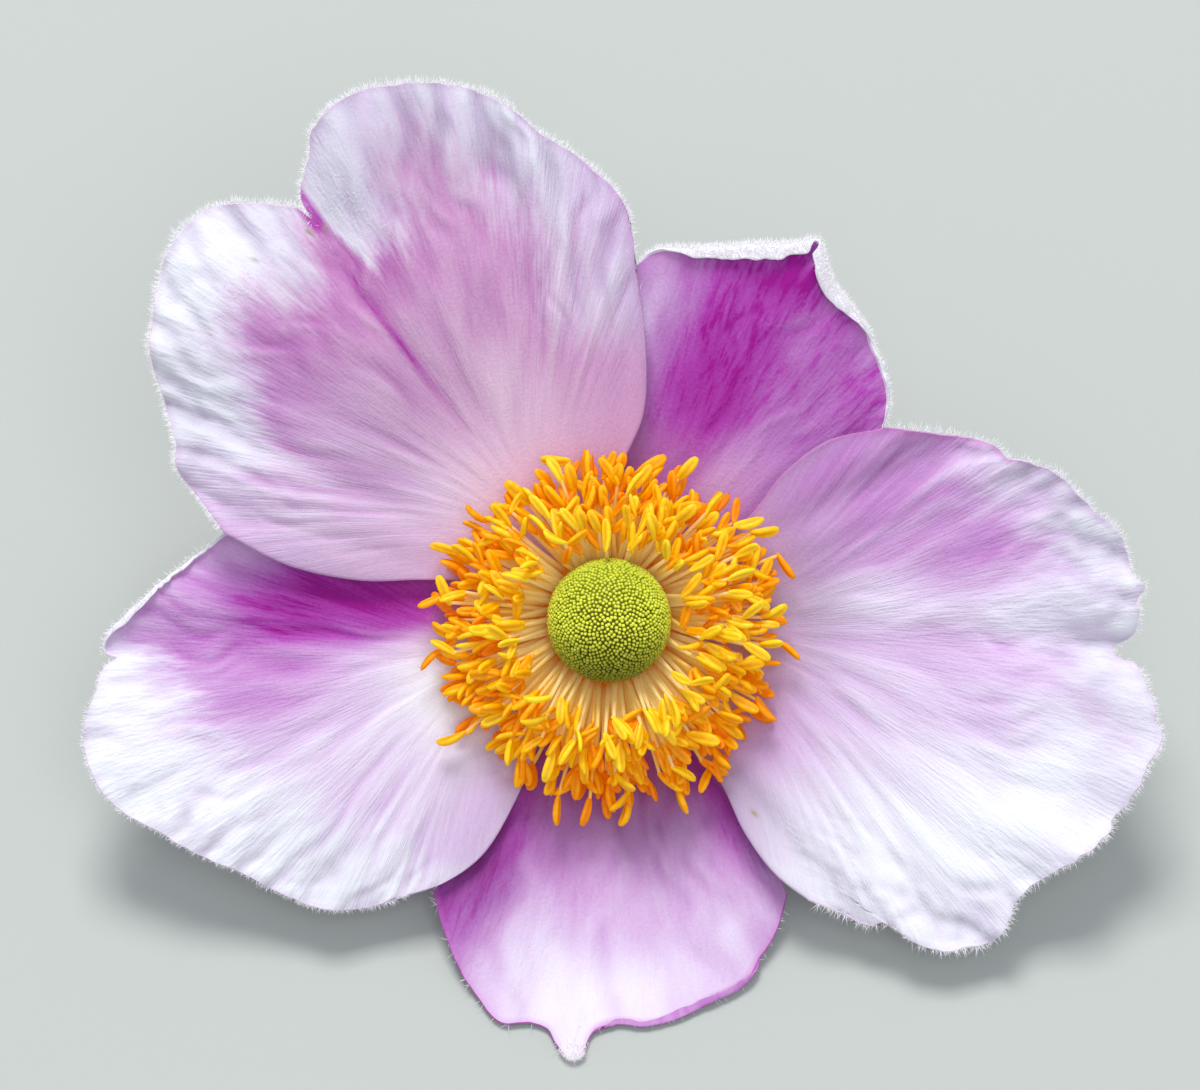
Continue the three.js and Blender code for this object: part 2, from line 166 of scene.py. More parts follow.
def mesh_object(name, points, faces, attributes=None):
    """A mesh object with float or vector values kept at its points."""
    mesh = bpy.data.meshes.new(name)
    mesh.from_pydata(np.asarray(points).tolist(), [], faces)
    for key, values in (attributes or {}).items():
        values = np.asarray(values, dtype=np.float32)
        kind, slot = ("FLOAT", "value") if values.ndim == 1 else ("FLOAT_VECTOR", "vector")
        mesh.attributes.new(key, kind, "POINT").data.foreach_set(slot, values.ravel())
    thing = bpy.data.objects.new(name, mesh)
    bpy.context.scene.collection.objects.link(thing)
    return thing


def connect(tree, node, links):
    """Gives inputs of a node, each by name or number, a value or the socket they read."""
    for key, value in links.items():
        if isinstance(value, bpy.types.NodeSocket):
            tree.links.new(value, node.inputs[key])
        else:
            node.inputs[key].default_value = value


def add_node(tree, kind, links=None, **settings):
    """Adds a node with its settings and connects its inputs."""
    node = tree.nodes.new(kind)
    for key, value in settings.items():
        setattr(node, key, value)
    connect(tree, node, links or {})
    return node


def math_node(tree, operation, *values):
    """One step of arithmetic."""
    return add_node(tree, "ShaderNodeMath", dict(enumerate(values)), operation=operation).outputs[0]


def vector_sum(tree, first, second):
    """Two vectors added up."""
    return add_node(tree, "ShaderNodeVectorMath", {0: first, 1: second}, operation="ADD").outputs[0]


def scaled(tree, vector, factor):
    """A vector times a number."""
    links = {0: vector, "Scale": factor}
    return add_node(tree, "ShaderNodeVectorMath", links, operation="SCALE").outputs[0]


def mapped(tree, value, low, high, start=0.0, end=1.0, **settings):
    """A value carried from between low and high to between start and end."""
    links = {"Value": value, 1: low, 2: high, 3: start, 4: end}
    return add_node(tree, "ShaderNodeMapRange", links, **settings).outputs[0]


def new_tree(name, inputs):
    """An empty Geometry Nodes tree with named inputs, each with the kind of its socket."""
    tree = bpy.data.node_groups.new(name, "GeometryNodeTree")
    tree.interface.new_socket("Geometry", in_out="OUTPUT", socket_type="NodeSocketGeometry")
    for label, kind in {"Geometry": "NodeSocketGeometry", **inputs}.items():
        tree.interface.new_socket(label, in_out="INPUT", socket_type=kind)
    return tree


def grow(thing, tree, values):
    """Runs a tree on an object, and returns what it made as a plain mesh object of the same name."""
    modifier = thing.modifiers.new(tree.name, "NODES")
    modifier.node_group = tree
    sockets = {item.name: item.identifier for item in tree.interface.items_tree if item.in_out == "INPUT"}
    for label, value in values.items():
        modifier[sockets[label]] = value
    evaluated = thing.evaluated_get(bpy.context.evaluated_depsgraph_get())
    mesh = bpy.data.meshes.new_from_object(evaluated)
    thing.modifiers.clear()
    thing.data = mesh
    return thing


def finish_piece(thing, material, slot, *replaced):
    """Gives a piece its material and its body, and hides the solids that it stands for. Its slot is not used.
    """
    thing.data.materials.clear()
    thing.data.materials.append(material)
    thing.data.shade_smooth()
    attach(thing, "root")
    if replaced:
        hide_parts(*replaced)
    thing.data.calc_loop_triangles()
    print(thing.name, len(thing.data.loop_triangles), "triangles")


# %% [markdown]
# ## Colours
#
# Every colour is an sRGB hex value as a painter would write it. Shaders work in linear light, so one
# function turns it. The others are the steps that the materials share.

# %% Colour helpers
RELIEF_DEPTH = 0.0002  # metres


def linear(hex_colour):
    """The linear colour of an sRGB hex value such as #F4F1FA."""
    parts = [int(hex_colour[i : i + 2], 16) / 255 for i in (1, 3, 5)]
    return [p / 12.92 if p <= 0.04045 else ((p + 0.055) / 1.055) ** 2.4 for p in parts] + [1.0]


def ramped(tree, value, stops):
    """The colour at a value of a ramp through stops of (place, hex colour)."""
    node = add_node(tree, "ShaderNodeValToRGB", {"Fac": value})
    ramp = node.color_ramp
    while len(ramp.elements) < len(stops):
        ramp.elements.new(0.5)
    for element, (place, colour) in zip(ramp.elements, stops):
        element.position = place
        element.color = linear(colour)
    return node.outputs["Color"]


def blended(tree, share, first, second, **settings):
    """A colour with a share of another one."""
    links = {"Factor": share, 6: first, 7: second}
    return add_node(tree, "ShaderNodeMix", links, data_type="RGBA", **settings).outputs[2]


def carried(tree, key):
    """The value that the mesh carries under a name."""
    return add_node(tree, "ShaderNodeAttribute", attribute_name=key).outputs["Fac"]


def fine_grain(tree, hills):
    """Noise between 0 and 1 with so many hills to the metre."""
    place = add_node(tree, "ShaderNodeTexCoord").outputs["Object"]
    links = {"Vector": place, "Scale": hills, "Detail": 2.0}
    return add_node(tree, "ShaderNodeTexNoise", links).outputs["Fac"]


def new_material(name):
    """A material with its node tree and its Principled node."""
    material = bpy.data.materials.new(name)
    material.use_nodes = True
    return material, material.node_tree, material.node_tree.nodes["Principled BSDF"]


def relief_normal(tree, height, strength):
    """The normal of a surface with fine relief."""
    links = {"Height": height, "Strength": strength, "Distance": RELIEF_DEPTH}
    return add_node(tree, "ShaderNodeBump", links).outputs["Normal"]


def let_light_through(tree, shader, share, colour):
    """Mixes the surface with a thin sheet's glow from the light behind it."""
    glow = add_node(tree, "ShaderNodeBsdfTranslucent", {"Color": colour}).outputs[0]
    mixed = add_node(tree, "ShaderNodeMixShader", {0: share, 1: shader.outputs[0], 2: glow}).outputs[0]
    tree.links.new(mixed, tree.nodes["Material Output"].inputs["Surface"])


# %% [markdown]
# ## The tepals
#
# An anemone has no petals: the five coloured leaves are tepals. Each stands on a narrow claw and fans out
# to a broad rim. Three are in front and two behind, so their heights differ where they overlap. A blade
# is drawn as a grid: columns fan out from the claw to the rim, as the veins do, and rows cross from side
# to side. The four edges are curves through a few points, in degrees and millimetres round the flower's
# axis. They are the solids' edges. Only the top tepal's first side, hidden behind the right tepal, runs
# further in, so that no slit shows between the two from above.

# %% Where each tepal's edges run
CLAW_REACH = 2.9  # mm
CLAW_SPREAD = 30  # degrees to each side
TEPALS = {
    "tepal_right": {
        "first_side": [[-55.5, 8.5], [-55.6, 12.5], [-57.5, 15.8], [-56.8, 19], [-54.5, 21.4]],
        "rim": [
            [-54.5, 21.4], [-52, 23.1], [-49.2, 25.2], [-47.6, 25.5], [-46.8, 27.2], [-44.7, 29.3],
            [-42, 30.4], [-39, 31.3], [-36.5, 31.1], [-34.5, 30.9], [-30.5, 31.6], [-25, 33.4],
            [-19.5, 34.2], [-12.5, 35.1], [-10, 34.6], [-6, 33.4], [-4.6, 32.6], [-4.3, 31.7],
            [-3, 31.6], [-1.8, 32.7], [0.6, 33.1], [1.9, 32.9], [3.4, 33.3], [5.5, 32.7],
            [9, 32.3], [13.5, 30.6], [17.5, 29.6], [21.2, 27.6], [21.9, 26.8], [24.5, 26.3],
            [30.5, 23], [35, 20.9],
        ],
        "second_side": [[34.5, 8.5], [36.8, 11.3], [40, 14.3], [39.2, 17.8], [35, 20.9]],
    },
    "tepal_top": {
        "first_side": [[28, 8.5], [26, 13.5], [28.5, 17.5], [34.5, 20.6]],
        "rim": [
            [34.5, 20.6], [37.5, 21.9], [41, 22.8], [46, 23.6], [50, 24.3], [56, 25], [59.3, 26],
            [61.2, 26.9], [63.3, 26.1], [67, 25.3], [73, 24.2], [79, 23.5], [82.5, 23.2], [85.5, 22.3],
        ],
        "second_side": [[86.5, 8.5], [89, 13.5], [89.5, 18.5], [85.5, 22.3]],
    },
    "tepal_top_left": {
        "first_side": [[87.5, 8.5], [80.5, 13.1], [82.3, 17], [85.8, 22.4]],
        "rim": [
            [85.8, 22.4], [88, 26], [94, 29], [98, 30.6], [102, 33.1], [107, 35], [112, 36], [117, 36.5],
            [121, 35.8], [123, 34.4], [125.6, 33.1], [126.3, 32.1], [126.5, 30.9], [127.2, 32.2],
            [129, 33.3], [133.5, 35.6], [137, 36], [141.5, 35.5], [146, 34.2], [150, 32.9], [154, 30.8],
            [158, 29], [160.5, 28.5], [163.5, 26.5], [167.4, 24.4],
        ],
        "second_side": [[164, 8.5], [168, 12], [171, 15.8], [170.3, 20.4], [167.4, 24.4]],
    },
    "tepal_left": {
        "first_side": [[165.5, 8.5], [161, 14], [161, 19], [165.5, 23.8]],
        "rim": [
            [165.5, 23.8], [171, 25.8], [176.5, 28.4], [180, 30.3], [182, 31.3], [183.6, 31.4],
            [184.4, 30.8], [185.3, 31.7], [188, 32.4], [192, 33.5], [197, 33.6], [201, 32.8],
            [205.5, 30.9], [210, 29.4], [214, 28], [220, 26.6], [225, 25.5], [229, 23.9], [234, 21.3],
        ],
        "second_side": [[240, 8.5], [242.7, 13], [241.7, 16.8], [238, 19.4], [234, 21.3]],
    },
    "tepal_bottom": {
        "first_side": [[240.5, 8.5], [236, 13], [235, 17], [237, 20.2]],
        "rim": [
            [237, 20.2], [242, 22], [247, 23.8], [251, 25], [255, 26], [259, 25.6], [261.4, 25.8],
            [262.7, 26.5], [264, 27.1], [265.4, 27.3], [266.5, 27], [267.1, 26.2], [268.2, 25.5],
            [271, 25.1], [276, 25.3], [281, 25], [286, 24.5], [290.5, 24.2], [293.5, 23.3],
            [298, 22.2], [303, 20.5],
        ],
        "second_side": [[302.5, 8.5], [304.5, 13], [305.5, 17], [303, 20.5]],
    },
}

# %% [markdown]
# ## The form of each blade
#
# The large form is the solid's: a shallow bowl, the layer that it lies in, sides that curl up or hang, a
# lean to one side, folds, and a rim that bends back (`reflex`) or rolls forward. Finer waves are added.
# `folds` run out along a ray: each has its angle, its width in degrees, the reaches where it starts and is
# full, and its height in mm. `pleats` are the short ruffles that a rim gathers, and `crumples` are its
# creases in both directions: each has its angle, its width, its height and how deep it goes in from the
# rim. `ruffle` is the rim's long wave, `wrinkle` the height of the fine ribs between the veins, and
# `ragged` how far the rim itself strays in and out.

# %% Heights of the blades
VEINS = {
    "tepal_right": (-3, 9), "tepal_top": (62, -2), "tepal_top_left": (127.5, 9), "tepal_left": (194, 9.5),
    "tepal_bottom": (268, -6),
}  # angle of each midrib, and how far out along it the veins part, in mm
VEIN_SOFTNESS = 4
VEIN_REACH = 20  # mm beyond that parting, where one step between veins is one mm
LAYER_STEP = 1.35  # mm from a tepal behind to one in front
LAYER_REACH = 10  # mm, where a tepal has reached its layer
BOWL_REACH = 30  # mm, where the bowl has its full height
BOWL_POWER = 1.4
REFLEX_REACH = (22.5, 39)  # mm, where the rim starts to bend back, and where it has done so in full
RUFFLE_DEPTH = 4.5  # mm in from the edge
RUFFLE_TURNS = (23, 37)  # waves in a full turn
FORMS = {
    "tepal_right": {
        "layer": 1, "bowl": 5.2, "sides": 0.8, "lean": -0.2,
        "reflex": 1.6, "ruffle": 0.28, "wrinkle": 0.13, "ragged": 0.23,
        "folds": [(-3.5, 4, 14, 31, -0.5), (-44, 6, 22, 30, -0.8)],
        "pleats": [(-40, 10, 0.14, 4), (2, 9, 0.12, 3), (22, 9, 0.16, 2.5)],
        "crumples": [(6, 14, 0.15, 4.5), (-42, 10, 0.12, 3.5)],
    },
    "tepal_top": {
        "layer": 0, "bowl": 5.7, "sides": -0.8, "lean": 0,
        "reflex": 0, "ruffle": 0.08, "wrinkle": 0.05, "ragged": 0.07,
        "folds": [(61, 7, 12, 27, 0.5)],
        "pleats": [],
        "crumples": [],
    },
    "tepal_top_left": {
        "layer": 1, "bowl": 5.6, "sides": 0.4, "lean": 0.9,
        "reflex": 3.2, "ruffle": 0.3, "wrinkle": 0.15, "ragged": 0.11,
        "folds": [(128, 3, 12, 32, -0.9), (119, 5, 24, 34, 0.7), (138, 6, 22, 34, 0.6)],
        "pleats": [(103, 16, 0.33, 4.6), (154, 9, 0.36, 4), (136, 9, 0.1, 4)],
        "crumples": [(146, 16, 0.1, 5)],
    },
    "tepal_left": {
        "layer": 1, "bowl": 4.8, "sides": -0.5, "lean": 0.9,
        "reflex": 1.2, "ruffle": 0.13, "wrinkle": 0.12, "ragged": 0.08,
        "folds": [(184.5, 5, 8, 30, -0.58), (222, 7, 18, 27, -0.5)],
        "pleats": [(200, 12, 0.08, 3), (222, 14, 0.09, 3.5)],
        "crumples": [(220, 14, 0.06, 4), (200, 10, 0.06, 3)],
    },
    "tepal_bottom": {
        "layer": 0, "bowl": 6.4, "sides": -0.6, "lean": -0.4,
        "reflex": 0, "ruffle": 0.1, "wrinkle": 0.06, "ragged": 0.07,
        "folds": [(265.5, 4, 20, 27, 0.5)],
        "pleats": [],
        "crumples": [],
    },
}


def vein_lines(name, angle, reach):
    """How far out along the midrib a place lies, which vein runs through it, and how far they have parted."""
    midrib, parting = VEINS[name]
    turn = np.radians(angle - midrib)
    along = reach * np.cos(turn)
    gap = along - parting
    parted = (gap + np.hypot(gap, VEIN_SOFTNESS)) / 2
    return along, reach * np.sin(turn) / parted * VEIN_REACH, parted


def blade_height(name, seed, angle, reach, across, to_margin, to_rim):
    """How far a blade stands towards the viewer, in mm, and the crests of its ruffles and ribs, -1 to 1."""
    form = FORMS[name]
    out = reach / BOWL_REACH
    arc = np.radians(angle) * BOWL_REACH
    height = form["bowl"] * out**BOWL_POWER
    height = height + form["layer"] * LAYER_STEP * smoothstep(reach, CLAW_REACH, LAYER_REACH)
    height += (form["sides"] * across**2 + form["lean"] * across) * out
    height -= form["reflex"] * smoothstep(reach, *REFLEX_REACH)
    for where, width, start, end, amount in form["folds"]:
        height += amount * hill((angle - where) / width) * smoothstep(reach, start, end)
    edge = sum(np.sin(np.radians(turns * angle)) for turns in RUFFLE_TURNS)
    edge = edge * form["ruffle"] * np.exp(-to_margin / RUFFLE_DEPTH)
    phase = arc * 2.4 + 3.2 * soft_noise(arc / 3.5, reach / 3, seed + 1)
    wave = 0.8 * np.sin(phase) + 0.35 * np.sin(2 * phase + 1.3)
    wave += 0.6 * soft_noise(arc / 0.8, reach / 1.8, seed + 2)
    wave += 0.45 * soft_noise(arc / 0.5, reach / 3, seed + 16)
    crest = 0 * reach
    for where, width, amount, depth in form["pleats"]:
        local = hill((angle - where) / width) * hill(to_rim / depth)
        edge += amount * wave * local
        crest += wave * local
    crumple = soft_noise(arc / 0.8 + reach / 3, reach / 0.75 - arc / 4, seed + 3)
    crumple += 0.6 * soft_noise(arc / 0.5 - reach / 5, reach / 0.6 + arc / 5, seed + 12)
    for where, width, amount, depth in form["crumples"]:
        local = hill((angle - where) / width) * hill(to_rim / depth)
        edge += amount * crumple * local
        crest += 0.5 * crumple * local
    edge += 0.07 * soft_noise(arc / 0.8, to_margin / 0.9, seed + 4) * np.exp(-to_margin / 1.2)
    height += edge * smoothstep(reach, LAYER_REACH, 2 * LAYER_REACH)
    along, vein, parted = vein_lines(name, angle, reach)
    strayed = vein + 1.2 * soft_noise(along / 2.5, vein / 5, seed + 14)
    inner = soft_noise(strayed * 0.6, along / 4, seed + 5)
    outer = soft_noise(strayed * 1.35, along / 2.2, seed + 6)
    outer += 0.5 * soft_noise(strayed * 0.6, along / 3, seed + 15)
    ribs = inner + (outer - inner) * smoothstep(parted, 10, 18)
    ribs = ribs * smoothstep(parted, 2.5, 7) * (1 - 0.5 * smoothstep(reach, 27, 33))
    ribs = ribs * smoothstep(1 - np.abs(across), 0, 0.14)
    return height + form["wrinkle"] * ribs * smoothstep(reach, 7, 12), crest, ribs


# %% [markdown]
# ## From outline to blade
#
# The grid is a Coons patch, the surface that a sail maker would stretch between four curved edges. Where
# a rim rolls forward, some more rows curl the blade over towards the viewer, so that its felted back
# shows as a pale hem. Each blade then gets its thickness and closes round its edge.

# %% Grids of the blades
BLADE_COLUMNS = 190
BLADE_ROWS = 104
NOTCH_SHARE = 0.3  # how much a notch's depth counts when the columns are spaced along a rim
HEM_ROWS = 9
HEM_ROLL = 0.2  # mm, radius of the roll
HEM_TURN = math.radians(165)  # how far the hem turns over
RIM_THICKNESS = 0.16
BLADE_THICKNESS = 0.34
THICKENING = 3  # mm in from the rim to the full thickness
HEMS = {
    "tepal_right": [(-55, 0.05), (35, 0.05)],
    "tepal_top": [
        (34.5, 0.1), (40, 0.25), (47, 0.35), (50, 0.6), (54, 1.1), (58, 1.25), (60.2, 1.1), (61, 0.4),
        (61.4, 0.4), (62.2, 1.1), (66, 1.3), (70, 1.25), (76, 0.95), (82, 0.35), (85.5, 0.05),
    ],
    "tepal_top_left": [(85, 0.05), (168, 0.05)],
    "tepal_left": [(165.5, 0.3), (168, 0.5), (180, 0.7), (183, 0.5), (184.4, 0.05), (235, 0.05)],
    "tepal_bottom": [
        (236, 0.05), (267.5, 0.05), (270, 0.6), (280, 0.85), (290, 0.7), (294, 0.1), (303, 0.05),
    ],
}  # angle, and the hem's width there in mm
HEM_TINTS = {"tepal_top": 0.04, "tepal_left": 0.1, "tepal_bottom": 0.95}
FLOOR_GAP = 0.3  # mm that a blade's middle keeps from the floor
FLOOR_SOFTNESS = 0.4


def off_the_floor(points):
    """Lifts points along the flower's axis, so that a blade bends where it would pass through the floor."""
    height = (points @ FACE_AXES + ATTACHMENT)[..., 2]
    below = FLOOR_GAP - height
    lift = (below + np.hypot(below, FLOOR_SOFTNESS)) / 2 / math.cos(LEAN)
    return points + lift[..., None] * np.array([0.0, 0.0, 1.0])


def grid_normals(grid):
    """Unit normals of a grid of points, towards the viewer."""
    outward = np.gradient(grid, axis=1)
    sideways = np.gradient(grid, axis=0)
    normal = np.cross(outward, sideways)
    return normal / np.maximum(np.linalg.norm(normal, axis=-1, keepdims=True), 1e-12)


def blade_grid(name, seed):
    """The middle surface of a tepal, as a grid of face-frame points, with what is known at each."""
    edges = TEPALS[name]
    flat = lambda points: ray(*np.array(points, dtype=float).T)[:, :2]
    middle = (edges["rim"][0][0] + edges["rim"][-1][0]) / 2
    u = np.linspace(0, 1, BLADE_COLUMNS)
    v = np.linspace(0, 1, BLADE_ROWS)
    claw = ray(middle + CLAW_SPREAD * (2 * u - 1), CLAW_REACH)[:, :2]
    rim_line = curve_through(flat(edges["rim"]))
    moves, places = np.diff(rim_line, axis=0), (rim_line[1:] + rim_line[:-1]) / 2
    outward = places / np.linalg.norm(places, axis=1, keepdims=True)
    radial = np.abs((moves * outward).sum(axis=1))
    sideways = np.abs(moves[:, 0] * outward[:, 1] - moves[:, 1] * outward[:, 0])
    rim = spaced_along(rim_line, u, sideways + NOTCH_SHARE * radial)
    rim_length = np.linalg.norm(moves, axis=1).sum()
    uneven = soft_noise(u * rim_length / 0.8, 0.5, seed + 7)
    uneven += 0.45 * soft_noise(u * rim_length / 0.4, 0.5, seed)
    uneven *= FORMS[name]["ragged"] * np.sin(np.pi * u) ** 0.5
    rim += uneven[:, None] * rim / np.linalg.norm(rim, axis=1, keepdims=True)
    first_line = curve_through(np.vstack([claw[:1], flat(edges["first_side"])]))
    second_line = curve_through(np.vstack([claw[-1:], flat(edges["second_side"])]))
    first, second = spaced_along(first_line, v), spaced_along(second_line, v)
    us, vs = u[:, None, None], v[None, :, None]
    grid = (1 - vs) * claw[:, None] + vs * rim[:, None] + (1 - us) * first[None] + us * second[None]
    grid -= (1 - us) * ((1 - vs) * claw[0] + vs * rim[0]) + us * ((1 - vs) * claw[-1] + vs * rim[-1])
    margin = np.vstack([first_line, rim_line, second_line])
    distances = lambda column, line: np.linalg.norm(column[:, None] - line[None], axis=-1)
    nearest = lambda line: np.array([distances(column, line).min(axis=1) for column in grid])
    to_margin, to_rim = nearest(margin), nearest(rim_line)
    reach = np.linalg.norm(grid, axis=-1)
    angle = middle + (np.degrees(np.arctan2(grid[..., 1], grid[..., 0])) - middle + 180) % 360 - 180
    across = np.broadcast_to(2 * u[:, None] - 1, reach.shape)
    height, crest, ribs = blade_height(name, seed, angle, reach, across, to_margin, to_rim)
    points = np.concatenate([grid, height[..., None]], axis=-1)
    along, vein = vein_lines(name, angle, reach)[:2]
    facts = {
        "angle": angle, "reach": reach, "margin": to_margin, "along": along, "vein": vein, "crest": crest,
        "ribs": ribs,
    }
    return points, facts


def with_hem(name, points, facts, seed):
    """Adds the rows that roll the far rim forward over its hem."""
    width = np.interp(facts["angle"][:, -1], *np.transpose(HEMS[name]))
    width *= 1 + 0.14 * soft_noise(np.arange(len(width)) / 4, 0.5, seed + 8)
    normal = grid_normals(points)[:, -1]
    tangent = np.gradient(points[:, -1], axis=0)
    outward = np.cross(tangent, normal)
    outward /= np.linalg.norm(outward, axis=-1, keepdims=True)
    outward *= np.sign((outward * (points[:, -1] - points[:, -3])).sum(-1, keepdims=True))
    rows = []
    for run in np.linspace(0, 1, HEM_ROWS + 1)[1:]:
        length = width * run
        turn = np.minimum(length / HEM_ROLL, HEM_TURN)
        rest = length - turn * HEM_ROLL
        out = HEM_ROLL * np.sin(turn) + rest * np.cos(turn)
        rise = HEM_ROLL * (1 - np.cos(turn)) + rest * np.sin(turn)
        rows.append(points[:, -1] + outward * out[:, None] + normal * rise[:, None])
    points = np.concatenate([points, np.stack(rows, axis=1)], axis=1)
    spread = lambda values: np.concatenate([values, np.repeat(values[:, -1:], HEM_ROWS, axis=1)], axis=1)
    facts = {key: spread(values) for key, values in facts.items()}
    if name in HEM_TINTS:
        for key in ("tint", "rim_tint"):
            facts[key][:, 1 - HEM_ROWS :] = HEM_TINTS[name]
    return points, facts


def evened(normals, steps=4):
    """Normals averaged with their neighbours' up to the rim, so that both faces keep the fine ribs' form."""
    smooth = normals
    for axis in (0, 1):
        size = normals.shape[axis]
        moved = [np.clip(np.arange(size) + step, 0, size - 1) for step in range(-steps, steps + 1)]
        smooth = sum(np.take(smooth, places, axis=axis) for places in moved) / len(moved)
    share = np.clip((BLADE_ROWS - steps - np.arange(normals.shape[1])) / steps, 0, 1)[None, :, None]
    smooth = share * smooth + (1 - share) * normals
    return smooth / np.linalg.norm(smooth, axis=-1, keepdims=True)


def close_blade(grid, thickness):
    """Both faces of a blade and the strip round its edge, as points and faces. The front face comes first."""
    columns, rows = grid.shape[:2]
    normal = evened(grid_normals(grid))
    half = thickness[..., None] / 2 * normal
    points = np.concatenate([(grid + half).reshape(-1, 3), (grid - half).reshape(-1, 3)])
    index = np.arange(columns * rows).reshape(columns, rows)
    quads = np.stack([index[:-1, :-1], index[:-1, 1:], index[1:, 1:], index[1:, :-1]], axis=-1)
    quads = quads.reshape(-1, 4)
    back = quads[:, ::-1] + columns * rows
    loop = np.concatenate([index[:-1, 0], index[-1, :-1], index[:0:-1, -1], index[0, :0:-1]])
    after = np.roll(loop, -1)
    strip = np.stack([loop, after, after + columns * rows, loop + columns * rows], axis=-1)
    return points, np.vstack([quads, back, strip]).tolist()
